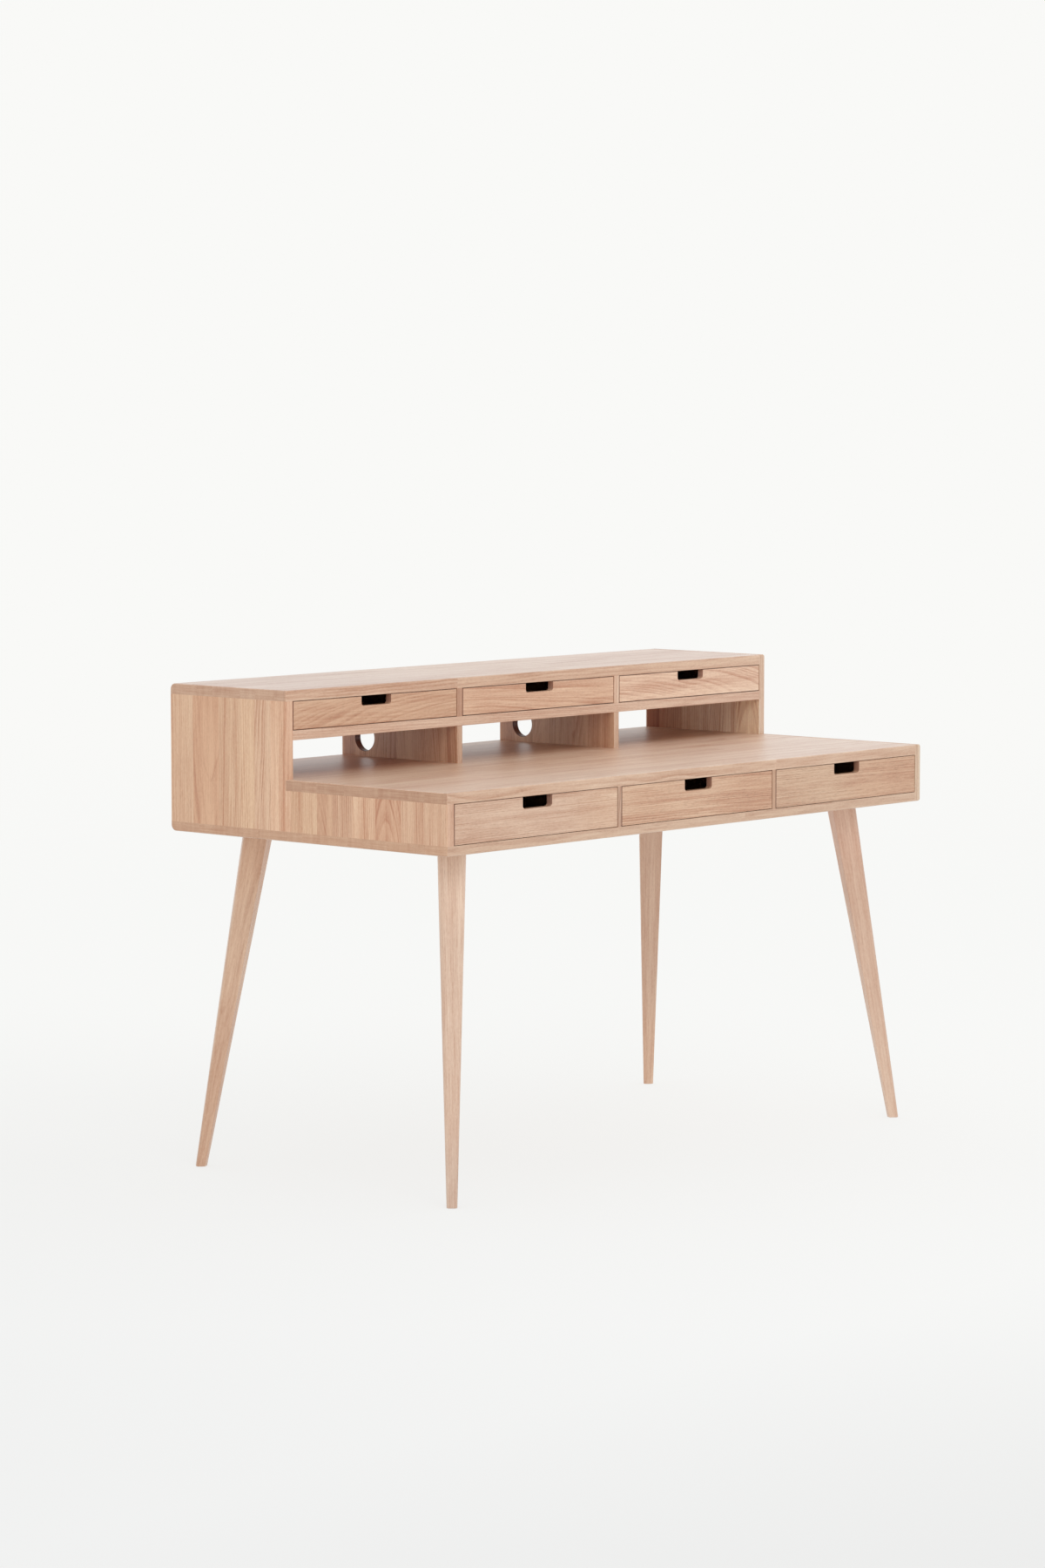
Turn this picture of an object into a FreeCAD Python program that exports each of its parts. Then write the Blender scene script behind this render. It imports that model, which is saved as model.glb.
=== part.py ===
import FreeCAD, Part
import math
import os

import Sketcher

V = FreeCAD.Vector
doc = FreeCAD.newDocument("gallery_writing_desk")

# ---------------------------------------------------------------------------
# Sizes in millimetres.  X runs along the width, the front faces -Y, Z is up,
# and the origin lies on the floor under the middle of the desk.
# ---------------------------------------------------------------------------
SIZES = [
    # the case
    ("desk_width", 1400.0, "outside width of the case"),
    ("desk_depth", 700.0, "outside depth of the case"),
    ("gallery_depth", 302.0, "depth of the raised gallery at the rear"),
    ("leg_height", 637.0, "floor to the underside of the case"),
    ("bottom_thick", 18.0, "bottom panel"),
    ("lower_cell", 75.0, "clear height for the lower drawers"),
    ("desktop_thick", 20.0, "desktop board"),
    ("cubby_cell", 71.0, "clear height of the open cubbies"),
    ("shelf_thick", 18.0, "shelf between cubbies and upper drawers"),
    ("upper_cell", 54.0, "clear height for the upper drawers"),
    ("top_thick", 20.0, "gallery top"),
    ("side_thick", 18.0, "side panels"),
    ("lower_divider", 10.0, "dividers between the lower drawers"),
    ("gallery_divider", 15.0, "dividers in the gallery"),
    ("back_thick", 12.0, "back panels"),
    ("back_inset", 6.0, "back panels set in from the rear face"),
    ("cable_hole", 50.0, "cable hole diameter in the cubby dividers"),
    ("cable_hole_rear", 60.0, "cable hole centre to the rear face"),
    # roundings
    ("round_rear", 11.5, "long rear edges, top and bottom"),
    ("round_right", 5.0, "long lower edges of the right side panel"),
    ("round_edge", 2.5, "eased outer edges"),
    ("round_soft", 1.2, "eased inner corners and drawer boxes"),
    ("round_front", 0.7, "eased outline of the drawer fronts"),
    # dowels
    ("dowel_dia", 8.0, "case dowels"),
    ("dowel_face", 12.0, "case dowel, depth in the face"),
    ("dowel_edge", 18.0, "case dowel, depth in the edge"),
    ("pin_dia", 6.0, "divider dowels"),
    ("pin_face", 10.0, "divider dowel, depth in the face"),
    ("pin_edge", 18.0, "divider dowel, depth in the edge"),
    ("dowel_pos_a", 40.0, "case dowel rows, from the front edge"),
    ("dowel_pos_b", 200.0, ""),
    ("dowel_pos_c", 360.0, ""),
    ("dowel_pos_d", 440.0, ""),
    ("dowel_pos_e", 550.0, ""),
    ("dowel_pos_f", 660.0, ""),
    ("lower_pin_a", 80.0, "lower divider dowels, from the front edge"),
    ("lower_pin_b", 300.0, ""),
    ("lower_pin_c", 560.0, ""),
    ("cubby_pin_a", 60.0, "cubby divider dowels, from the gallery front"),
    ("cubby_pin_b", 180.0, ""),
    ("upper_pin_a", 100.0, "upper divider dowels, from the gallery front"),
    ("upper_pin_b", 230.0, ""),
    # legs
    ("leg_top_x", 573.0, "leg axis at the case, from the middle"),
    ("leg_top_y", 245.0, ""),
    ("leg_foot_x", 656.0, "leg axis at the floor, from the middle"),
    ("leg_foot_y", 320.0, ""),
    ("leg_top_width", 52.5, "leg section at the case, across its lean"),
    ("leg_top_depth", 56.5, "leg section at the case, along its lean"),
    ("leg_top_round", 15.0, "radius of the outer corners there"),
    ("leg_top_keel_long", 12.0, "fall of the keel there, on the side facing along the depth"),
    ("leg_top_keel_end", 7.0, "fall of the keel there, on the side facing along the width"),
    ("leg_foot_width", 19.5, "leg section at the floor, across its lean"),
    ("leg_foot_depth", 21.5, "leg section at the floor, along its lean"),
    ("leg_foot_round", 6.0, "radius of the outer corners there"),
    ("leg_foot_keel_long", 4.5, "the same two falls of the keel at the floor"),
    ("leg_foot_keel_end", 2.6, ""),
    ("leg_keel_round", 4.0, "eased ridge of the keel"),
    ("leg_edge_round", 1.6, "eased edges beside the keel"),
    ("foot_ease", 1.5, "eased edge of the foot"),
    ("bolt_dia", 8.0, "leg bolt shank"),
    ("bolt_head_dia", 14.0, "leg bolt head"),
    ("bolt_head_high", 5.0, ""),
    ("bolt_sink_dia", 15.0, "counterbore for the bolt head"),
    ("bolt_sink", 6.0, ""),
    ("bolt_half_pitch", 13.0, "half the distance between two leg bolts"),
    ("insert_dia", 12.0, "threaded insert in the leg"),
    ("insert_long", 24.0, ""),
    # drawers
    ("front_gap", 1.5, "gap at each end of a drawer front"),
    ("front_play", 0.9, "gap above and below a drawer front"),
    ("front_thick", 13.0, "drawer front"),
    ("notch_width", 80.0, "finger notch in the top edge of a front"),
    ("notch_round", 6.0, ""),
    ("lower_notch", 21.6, "finger notch depth, lower fronts"),
    ("upper_notch", 18.1, "finger notch depth, upper fronts"),
    ("box_side", 12.0, "drawer side thickness"),
    ("side_gap", 2.0, "drawer side to cell wall"),
    ("tongue", 5.0, "sides and bottom let into the front"),
    ("bottom_let", 5.0, "bottom let into the sides"),
    ("box_back", 12.0, "drawer back thickness"),
    ("box_back_let", 3.0, "drawer back let into the sides"),
    ("box_back_set", 6.0, "drawer back in from the ends of the sides"),
    ("lower_side_high", 55.0, "lower drawer side height"),
    ("lower_side_lift", 4.5, "its lower edge above the bottom panel"),
    ("lower_box_long", 560.0, "lower drawer box behind the front"),
    ("lower_base_thick", 6.0, "lower drawer bottom"),
    ("lower_base_up", 8.0, "its groove above the side's lower edge"),
    ("upper_side_high", 38.0, "upper drawer side height"),
    ("upper_side_lift", 4.0, "its lower edge above the shelf"),
    ("upper_box_long", 262.0, "upper drawer box behind the front"),
    ("upper_base_thick", 5.0, "upper drawer bottom"),
    ("upper_base_up", 6.0, "its groove above the side's lower edge"),
    # runners
    ("runner_wall", 3.0, "runner let into the cell wall"),
    ("runner_reach", 6.5, "runner inside the groove of the drawer side"),
    ("runner_groove", 7.0, "depth of that groove"),
    ("runner_play", 0.5, "play around and in front of a runner"),
    ("lower_runner_high", 12.0, ""),
    ("lower_runner_long", 640.0, ""),
    ("lower_groove_up", 24.0, "runner groove above the side's lower edge"),
    ("upper_runner_high", 10.0, ""),
    ("upper_runner_long", 268.0, ""),
    ("upper_groove_up", 17.0, "runner groove above the side's lower edge"),
]

sheet = doc.addObject("Spreadsheet::Sheet", "Sizes")
for row, (alias, number, note) in enumerate(SIZES, start=1):
    sheet.set("A%d" % row, alias.replace("_", " "))
    sheet.set("B%d" % row, str(number))
    sheet.set("C%d" % row, note)
    sheet.setAlias("B%d" % row, alias)
doc.recompute()


class Dim:
    """A length known both as a number and as an expression on the sheet."""

    def __init__(self, v, e):
        self.v = float(v)
        self.e = e

    @staticmethod
    def of(o):
        return o if isinstance(o, Dim) else Dim(o, "%.6g" % o)

    def __add__(self, o):
        o = Dim.of(o)
        return Dim(self.v + o.v, "(%s + %s)" % (self.e, o.e))

    def __sub__(self, o):
        o = Dim.of(o)
        return Dim(self.v - o.v, "(%s - %s)" % (self.e, o.e))

    def __mul__(self, o):
        o = Dim.of(o)
        return Dim(self.v * o.v, "(%s * %s)" % (self.e, o.e))

    def __truediv__(self, o):
        o = Dim.of(o)
        return Dim(self.v / o.v, "(%s / %s)" % (self.e, o.e))

    def __neg__(self):
        return Dim(-self.v, "(0 - %s)" % self.e)


S = {alias: Dim(float(sheet.get(alias)), "Sizes." + alias) for alias, n, t in SIZES}
ZERO = Dim(0, "0")

# ---------------------------------------------------------------------------
# Levels and walls
# ---------------------------------------------------------------------------
Z_BOTTOM = S["leg_height"]
Z_LOWER = Z_BOTTOM + S["bottom_thick"]
Z_DESK = Z_LOWER + S["lower_cell"]
Z_CUBBY = Z_DESK + S["desktop_thick"]
Z_SHELF = Z_CUBBY + S["cubby_cell"]
Z_UPPER = Z_SHELF + S["shelf_thick"]
Z_TOP = Z_UPPER + S["upper_cell"]
Z_END = Z_TOP + S["top_thick"]
X_LEFT = -(S["desk_width"] / 2)
X_IN = S["desk_width"] / 2 - S["side_thick"]
Y_FRONT = -(S["desk_depth"] / 2)
Y_BACK = S["desk_depth"] / 2
Y_GALLERY = Y_BACK - S["gallery_depth"]
FRONT_ZONE = S["desk_depth"] - S["gallery_depth"]
BACK_DEEP = S["back_inset"] + S["back_thick"]
INSIDE = S["desk_width"] - S["side_thick"] * 2
LOWER_W = (INSIDE - S["lower_divider"] * 2) / 3
UPPER_W = (INSIDE - S["gallery_divider"] * 2) / 3
ROWS_FRONT = [S["dowel_pos_a"], S["dowel_pos_b"], S["dowel_pos_c"]]
ROWS_REAR = [S["dowel_pos_d"], S["dowel_pos_e"], S["dowel_pos_f"]]
LOWER_PINS = [S["lower_pin_a"], S["lower_pin_b"], S["lower_pin_c"]]
CUBBY_PINS = [S["cubby_pin_a"], S["cubby_pin_b"]]
UPPER_PINS = [S["upper_pin_a"], S["upper_pin_b"]]

NODES = []


# ---------------------------------------------------------------------------
# Building blocks
# ---------------------------------------------------------------------------
def new_body(name, x, y, z, turn=0.0):
    body = doc.addObject("PartDesign::Body", name)
    body.Label = name
    body.Placement = FreeCAD.Placement(V(x.v, y.v, z.v), FreeCAD.Rotation(V(0, 0, 1), turn))
    body.setExpression("Placement.Base.x", x.e)
    body.setExpression("Placement.Base.y", y.e)
    body.setExpression("Placement.Base.z", z.e)
    NODES.append(body)
    return body


def plane_of(body, role):
    for feature in body.Origin.OriginFeatures:
        if feature.Role == role:
            return feature
    raise ValueError("no plane " + role)


def new_sketch(body, name, role, at=ZERO):
    sk = body.newObject("Sketcher::SketchObject", name)
    sk.AttachmentSupport = [(plane_of(body, role), "")]
    sk.MapMode = "FlatFace"
    along = -at if role == "XZ_Plane" else at
    if abs(along.v) > 1e-9:
        sk.AttachmentOffset = FreeCAD.Placement(V(0, 0, along.v), FreeCAD.Rotation())
        sk.setExpression("AttachmentOffset.Base.z", along.e)
    return sk


def pin(sk, axis, geo, point, d):
    if abs(d.v) < 1e-9:
        sk.addConstraint(Sketcher.Constraint("PointOnObject", geo, point, -2 if axis == "X" else -1))
    else:
        i = sk.addConstraint(Sketcher.Constraint("Distance" + axis, -1, 1, geo, point, d.v))
        sk.setExpression("Constraints[%d]" % i, d.e)


def polygon(sk, points):
    n = len(points)
    base = sk.GeometryCount
    for i in range(n):
        a, b = points[i], points[(i + 1) % n]
        sk.addGeometry(Part.LineSegment(V(a[0].v, a[1].v, 0), V(b[0].v, b[1].v, 0)), False)
    for i in range(n):
        sk.addConstraint(Sketcher.Constraint("Coincident", base + i, 2, base + (i + 1) % n, 1))
    for i in range(n):
        a, b = points[i], points[(i + 1) % n]
        if abs(a[0].v - b[0].v) < 1e-9:
            sk.addConstraint(Sketcher.Constraint("Vertical", base + i))
            pin(sk, "X", base + i, 1, a[0])
        else:
            sk.addConstraint(Sketcher.Constraint("Horizontal", base + i))
            pin(sk, "Y", base + i, 1, a[1])


def rect(sk, x0, y0, x1, y1):
    x0, y0, x1, y1 = Dim.of(x0), Dim.of(y0), Dim.of(x1), Dim.of(y1)
    polygon(sk, [(x0, y0), (x1, y0), (x1, y1), (x0, y1)])


def circle(sk, x, y, dia):
    x, y = Dim.of(x), Dim.of(y)
    radius = dia / 2
    i = sk.addGeometry(Part.Circle(V(x.v, y.v, 0), V(0, 0, 1), radius.v), False)
    c = sk.addConstraint(Sketcher.Constraint("Radius", i, radius.v))
    sk.setExpression("Constraints[%d]" % c, radius.e)
    pin(sk, "X", i, 3, x)
    pin(sk, "Y", i, 3, y)


def pad(body, name, sk, length, forward):
    """Pad along the positive (+1) or negative (-1) axis of the body."""
    f = body.newObject("PartDesign::Pad", name)
    f.Profile = sk
    f.Length = length.v
    f.setExpression("Length", length.e)
    role = sk.AttachmentSupport[0][0].Role
    f.Reversed = (forward > 0) if role == "XZ_Plane" else (forward < 0)
    sk.Visibility = False
    doc.recompute()
    return f


def cut(body, name, role, at, draw, depth, toward):
    """Pocket from the plane `at` along the +1 or -1 direction of the axis."""
    doc.recompute()
    before = body.Tip.Shape.Volume
    sk = new_sketch(body, name + "_outline", role, at)
    draw(sk)
    doc.recompute()
    f = body.newObject("PartDesign::Pocket", name)
    f.Profile = sk
    f.Length = depth.v
    f.setExpression("Length", depth.e)
    f.Reversed = (toward < 0) if role == "XZ_Plane" else (toward > 0)
    sk.Visibility = False
    doc.recompute()
    if f.Shape.isNull() or before - f.Shape.Volume < 1.0:
        raise RuntimeError("%s.%s removed nothing" % (body.Label, name))
    return f


def touches(edge, x=None, y=None, z=None, tol=1e-3):
    """True where every vertex of the edge lies on the given coordinates."""
    for vertex in edge.Vertexes:
        p = vertex.Point
        for got, want in ((p.x, x), (p.y, y), (p.z, z)):
            if want is not None and abs(got - want.v) > tol:
                return False
    return True


def ease(body, name, radius, pick):
    doc.recompute()
    tip = body.Tip
    names = ["Edge%d" % i for i, e in enumerate(tip.Shape.Edges, 1) if pick(e)]
    if not names:
        raise RuntimeError("%s.%s found no edge" % (body.Label, name))
    f = body.newObject("PartDesign::Fillet", name)
    f.Base = (tip, names)
    f.Radius = radius.v
    f.setExpression("Radius", radius.e)
    doc.recompute()
    if "Invalid" in f.State or "Error" in f.State or f.Shape.isNull() or not f.Shape.isValid():
        raise RuntimeError("%s.%s cannot be rounded" % (body.Label, name))
    return f


def board(name, x, y, z, dx, dy, dz):
    body = new_body(name, x, y, z)
    sk = new_sketch(body, name + "_plan", "XY_Plane")
    rect(sk, ZERO, ZERO, dx, dy)
    pad(body, name + "_board", sk, dz, +1)
    return body


def dots(points, dia):
    def draw(sk):
        for x, y in points:
            circle(sk, x, y, dia)
    return draw


def slots(*boxes):
    def draw(sk):
        for x0, y0, x1, y1 in boxes:
            rect(sk, x0, y0, x1, y1)
    return draw


# Left faces of the dividers, measured from the inner face of the left panel.
LOWER_DIV = [LOWER_W, LOWER_W * 2 + S["lower_divider"]]
UPPER_DIV = [UPPER_W, UPPER_W * 2 + S["gallery_divider"]]
# Left walls of the drawer cells, measured the same way.
LOWER_CELLS = [ZERO, LOWER_W + S["lower_divider"], (LOWER_W + S["lower_divider"]) * 2]
UPPER_CELLS = [ZERO, UPPER_W + S["gallery_divider"], (UPPER_W + S["gallery_divider"]) * 2]

# Runner levels above the floor of the cells.
LOWER_RUN = S["lower_side_lift"] + S["lower_groove_up"] + S["runner_play"]
UPPER_RUN = S["upper_side_lift"] + S["upper_groove_up"] + S["runner_play"]
# Front end of the runners, from the front face of the drawers.
RUN_START = S["front_thick"] + S["runner_play"]

# ---------------------------------------------------------------------------
# Bottom panel: runs under the left side panel and butts the right one
# ---------------------------------------------------------------------------
BOARD_LONG = S["desk_width"] - S["side_thick"]
SPLAY_X = S["leg_foot_x"] - S["leg_top_x"]
SPLAY_Y = S["leg_foot_y"] - S["leg_top_y"]
SPLAY = Dim(math.hypot(SPLAY_X.v, SPLAY_Y.v), "sqrt(pow(%s; 2) + pow(%s; 2))" % (SPLAY_X.e, SPLAY_Y.e))
BOLT_X = S["bolt_half_pitch"] * SPLAY_Y / SPLAY
BOLT_Y = S["bolt_half_pitch"] * SPLAY_X / SPLAY


def bolt_points(x0, y0):
    """Plan positions of the eight leg bolts from a corner at (x0, y0)."""
    points = []
    for sx in (-1, 1):
        for sy in (-1, 1):
            cx = (S["leg_top_x"] * sx) - x0
            cy = (S["leg_top_y"] * sy) - y0
            for k in (-1, 1):
                points.append((cx + BOLT_X * k, cy - BOLT_Y * (k * sx * sy)))
    return points


HALF = S["side_thick"] / 2
bottom = board("bottom_panel", X_LEFT, Y_FRONT, Z_BOTTOM, BOARD_LONG, S["desk_depth"], S["bottom_thick"])
cut(bottom, "bottom_bolt_holes", "XY_Plane", ZERO, dots(bolt_points(X_LEFT, Y_FRONT), S["bolt_dia"]), S["bottom_thick"], +1)
cut(bottom, "bottom_bolt_sinks", "XY_Plane", S["bottom_thick"], dots(bolt_points(X_LEFT, Y_FRONT), S["bolt_sink_dia"]), S["bolt_sink"], -1)
cut(bottom, "bottom_left_dowels", "XY_Plane", S["bottom_thick"], dots([(HALF, y) for y in ROWS_FRONT + ROWS_REAR], S["dowel_dia"]), S["dowel_face"], -1)
cut(bottom, "bottom_divider_dowels", "XY_Plane", S["bottom_thick"],
    dots([(S["side_thick"] + d + S["lower_divider"] / 2, y) for d in LOWER_DIV for y in LOWER_PINS], S["pin_dia"]), S["pin_face"], -1)
cut(bottom, "bottom_right_dowels", "YZ_Plane", BOARD_LONG, dots([(y, S["bottom_thick"] / 2) for y in ROWS_FRONT + ROWS_REAR], S["dowel_dia"]), S["dowel_edge"], -1)
ease(bottom, "bottom_rear_round", S["round_rear"], lambda e: touches(e, y=S["desk_depth"], z=ZERO))
ease(bottom, "bottom_edges", S["round_edge"], lambda e: touches(e, y=ZERO, z=ZERO) or touches(e, x=ZERO, z=ZERO) or touches(e, x=ZERO, y=ZERO))

# ---------------------------------------------------------------------------
# Left side panel: stands on the bottom panel under desktop and gallery top
# ---------------------------------------------------------------------------
L_TALL = Z_TOP - Z_LOWER
left = new_body("left_side_panel", X_LEFT, Y_FRONT, Z_LOWER)
sk = new_sketch(left, "left_side_outline", "YZ_Plane")
polygon(sk, [(ZERO, ZERO), (S["desk_depth"], ZERO), (S["desk_depth"], L_TALL), (FRONT_ZONE, L_TALL), (FRONT_ZONE, S["lower_cell"]), (ZERO, S["lower_cell"])])
pad(left, "left_side_board", sk, S["side_thick"], +1)
cut(left, "left_bottom_dowels", "XY_Plane", ZERO, dots([(HALF, y) for y in ROWS_FRONT + ROWS_REAR], S["dowel_dia"]), S["dowel_edge"], +1)
cut(left, "left_desk_dowels", "XY_Plane", S["lower_cell"], dots([(HALF, y) for y in ROWS_FRONT], S["dowel_dia"]), S["dowel_edge"], -1)
cut(left, "left_top_dowels", "XY_Plane", L_TALL, dots([(HALF, y) for y in ROWS_REAR], S["dowel_dia"]), S["dowel_edge"], -1)
cut(left, "left_board_dowels", "YZ_Plane", S["side_thick"],
    dots([(y, z) for y in ROWS_REAR for z in (S["lower_cell"] + S["desktop_thick"] / 2, Z_SHELF - Z_LOWER + S["shelf_thick"] / 2)], S["dowel_dia"]), S["dowel_face"], -1)
cut(left, "left_runner_grooves", "YZ_Plane", S["side_thick"],
    slots((RUN_START, LOWER_RUN, RUN_START + S["lower_runner_long"], LOWER_RUN + S["lower_runner_high"]),
          (FRONT_ZONE + RUN_START, Z_UPPER - Z_LOWER + UPPER_RUN, FRONT_ZONE + RUN_START + S["upper_runner_long"], Z_UPPER - Z_LOWER + UPPER_RUN + S["upper_runner_high"])),
    S["runner_wall"], -1)
ease(left, "left_corner_edges", S["round_edge"], lambda e: touches(e, x=ZERO, y=ZERO) or touches(e, x=ZERO, y=S["desk_depth"]))
ease(left, "left_gallery_edge", S["round_soft"], lambda e: touches(e, x=ZERO, y=FRONT_ZONE))

# ---------------------------------------------------------------------------
# Right side panel: full height, covers the ends of the boards
# ---------------------------------------------------------------------------
R_TALL = Z_END - Z_BOTTOM
R_DESK = Z_CUBBY - Z_BOTTOM
right = new_body("right_side_panel", X_IN, Y_FRONT, Z_BOTTOM)
sk = new_sketch(right, "right_side_outline", "YZ_Plane")
polygon(sk, [(ZERO, ZERO), (S["desk_depth"], ZERO), (S["desk_depth"], R_TALL), (FRONT_ZONE, R_TALL), (FRONT_ZONE, R_DESK), (ZERO, R_DESK)])
pad(right, "right_side_board", sk, S["side_thick"], +1)
R_ROWS = [(y, S["bottom_thick"] / 2) for y in ROWS_FRONT + ROWS_REAR]
R_ROWS += [(y, Z_DESK - Z_BOTTOM + S["desktop_thick"] / 2) for y in ROWS_FRONT + ROWS_REAR]
R_ROWS += [(y, Z_SHELF - Z_BOTTOM + S["shelf_thick"] / 2) for y in ROWS_REAR]
R_ROWS += [(y, Z_TOP - Z_BOTTOM + S["top_thick"] / 2) for y in ROWS_REAR]
cut(right, "right_board_dowels", "YZ_Plane", ZERO, dots(R_ROWS, S["dowel_dia"]), S["dowel_face"], +1)
R_LOW = Z_LOWER - Z_BOTTOM + LOWER_RUN
R_UPP = Z_UPPER - Z_BOTTOM + UPPER_RUN
cut(right, "right_runner_grooves", "YZ_Plane", ZERO,
    slots((RUN_START, R_LOW, RUN_START + S["lower_runner_long"], R_LOW + S["lower_runner_high"]),
          (FRONT_ZONE + RUN_START, R_UPP, FRONT_ZONE + RUN_START + S["upper_runner_long"], R_UPP + S["upper_runner_high"])),
    S["runner_wall"], +1)
ease(right, "right_rear_round", S["round_rear"], lambda e: touches(e, y=S["desk_depth"], z=R_TALL) or touches(e, y=S["desk_depth"], z=ZERO))
ease(right, "right_lower_edges", S["round_right"],
     lambda e: touches(e, x=S["side_thick"], z=ZERO) or touches(e, x=S["side_thick"], z=R_DESK))
ease(right, "right_front_edge", S["round_edge"], lambda e: touches(e, x=S["side_thick"], y=ZERO))
ease(right, "right_gallery_edges", S["round_edge"],
     lambda e: touches(e, x=S["side_thick"], y=FRONT_ZONE) or touches(e, x=S["side_thick"], z=R_TALL))

# ---------------------------------------------------------------------------
# Desktop: notched around the tall rear part of the left side panel
# ---------------------------------------------------------------------------
desk = new_body("desktop", X_LEFT, Y_FRONT, Z_DESK)
sk = new_sketch(desk, "desktop_plan", "XY_Plane")
polygon(sk, [(ZERO, ZERO), (BOARD_LONG, ZERO), (BOARD_LONG, S["desk_depth"]), (S["side_thick"], S["desk_depth"]), (S["side_thick"], FRONT_ZONE), (ZERO, FRONT_ZONE)])
pad(desk, "desktop_board", sk, S["desktop_thick"], +1)
cut(desk, "desktop_left_dowels", "XY_Plane", ZERO, dots([(HALF, y) for y in ROWS_FRONT], S["dowel_dia"]), S["dowel_face"], +1)
cut(desk, "desktop_lower_dowels", "XY_Plane", ZERO,
    dots([(S["side_thick"] + d + S["lower_divider"] / 2, y) for d in LOWER_DIV for y in LOWER_PINS], S["pin_dia"]), S["pin_face"], +1)
cut(desk, "desktop_cubby_dowels", "XY_Plane", S["desktop_thick"],
    dots([(S["side_thick"] + d + S["gallery_divider"] / 2, FRONT_ZONE + y) for d in UPPER_DIV for y in CUBBY_PINS], S["pin_dia"]), S["pin_face"], -1)
cut(desk, "desktop_right_dowels", "YZ_Plane", BOARD_LONG, dots([(y, S["desktop_thick"] / 2) for y in ROWS_FRONT + ROWS_REAR], S["dowel_dia"]), S["dowel_edge"], -1)
cut(desk, "desktop_rear_dowels", "YZ_Plane", S["side_thick"], dots([(y, S["desktop_thick"] / 2) for y in ROWS_REAR], S["dowel_dia"]), S["dowel_edge"], +1)
ease(desk, "desktop_edges", S["round_edge"],
     lambda e: touches(e, y=ZERO, z=S["desktop_thick"]) or touches(e, x=ZERO, z=S["desktop_thick"]) or touches(e, x=ZERO, y=ZERO))

# ---------------------------------------------------------------------------
# Gallery top and shelf
# ---------------------------------------------------------------------------
top = board("gallery_top", X_LEFT, Y_GALLERY, Z_TOP, BOARD_LONG, S["gallery_depth"], S["top_thick"])
cut(top, "top_left_dowels", "XY_Plane", ZERO, dots([(HALF, y - FRONT_ZONE) for y in ROWS_REAR], S["dowel_dia"]), S["dowel_face"], +1)
cut(top, "top_divider_dowels", "XY_Plane", ZERO,
    dots([(S["side_thick"] + d + S["gallery_divider"] / 2, y) for d in UPPER_DIV for y in UPPER_PINS], S["pin_dia"]), S["pin_face"], +1)
cut(top, "top_right_dowels", "YZ_Plane", BOARD_LONG, dots([(y - FRONT_ZONE, S["top_thick"] / 2) for y in ROWS_REAR], S["dowel_dia"]), S["dowel_edge"], -1)
ease(top, "top_rear_round", S["round_rear"], lambda e: touches(e, y=S["gallery_depth"], z=S["top_thick"]))
ease(top, "top_edges", S["round_edge"],
     lambda e: touches(e, y=ZERO, z=S["top_thick"]) or touches(e, x=ZERO, z=S["top_thick"]) or touches(e, x=ZERO, y=ZERO))

shelf = board("gallery_shelf", -X_IN, Y_GALLERY, Z_SHELF, INSIDE, S["gallery_depth"], S["shelf_thick"])
cut(shelf, "shelf_left_dowels", "YZ_Plane", ZERO, dots([(y - FRONT_ZONE, S["shelf_thick"] / 2) for y in ROWS_REAR], S["dowel_dia"]), S["dowel_edge"], +1)
cut(shelf, "shelf_right_dowels", "YZ_Plane", INSIDE, dots([(y - FRONT_ZONE, S["shelf_thick"] / 2) for y in ROWS_REAR], S["dowel_dia"]), S["dowel_edge"], -1)
cut(shelf, "shelf_cubby_dowels", "XY_Plane", ZERO, dots([(d + S["gallery_divider"] / 2, y) for d in UPPER_DIV for y in CUBBY_PINS], S["pin_dia"]), S["pin_face"], +1)
cut(shelf, "shelf_upper_dowels", "XY_Plane", S["shelf_thick"], dots([(d + S["gallery_divider"] / 2, y) for d in UPPER_DIV for y in UPPER_PINS], S["pin_dia"]), S["pin_face"], -1)
ease(shelf, "shelf_edges", S["round_front"], lambda e: touches(e, y=ZERO, z=ZERO) or touches(e, y=ZERO, z=S["shelf_thick"]))

# ---------------------------------------------------------------------------
# Dividers and back panels
# ---------------------------------------------------------------------------
LOWER_DEEP = S["desk_depth"] - BACK_DEEP
UPPER_DEEP = S["gallery_depth"] - BACK_DEEP
for side, d in zip(("left", "right"), LOWER_DIV):
    b = board("lower_divider_" + side, d - X_IN, Y_FRONT, Z_LOWER, S["lower_divider"], LOWER_DEEP, S["lower_cell"])
    mid = S["lower_divider"] / 2
    cut(b, b.Label + "_foot_dowels", "XY_Plane", ZERO, dots([(mid, y) for y in LOWER_PINS], S["pin_dia"]), S["pin_edge"], +1)
    cut(b, b.Label + "_head_dowels", "XY_Plane", S["lower_cell"], dots([(mid, y) for y in LOWER_PINS], S["pin_dia"]), S["pin_edge"], -1)
    groove = slots((RUN_START, LOWER_RUN, RUN_START + S["lower_runner_long"], LOWER_RUN + S["lower_runner_high"]))
    cut(b, b.Label + "_groove_left", "YZ_Plane", ZERO, groove, S["runner_wall"], +1)
    cut(b, b.Label + "_groove_right", "YZ_Plane", S["lower_divider"], groove, S["runner_wall"], -1)

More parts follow.
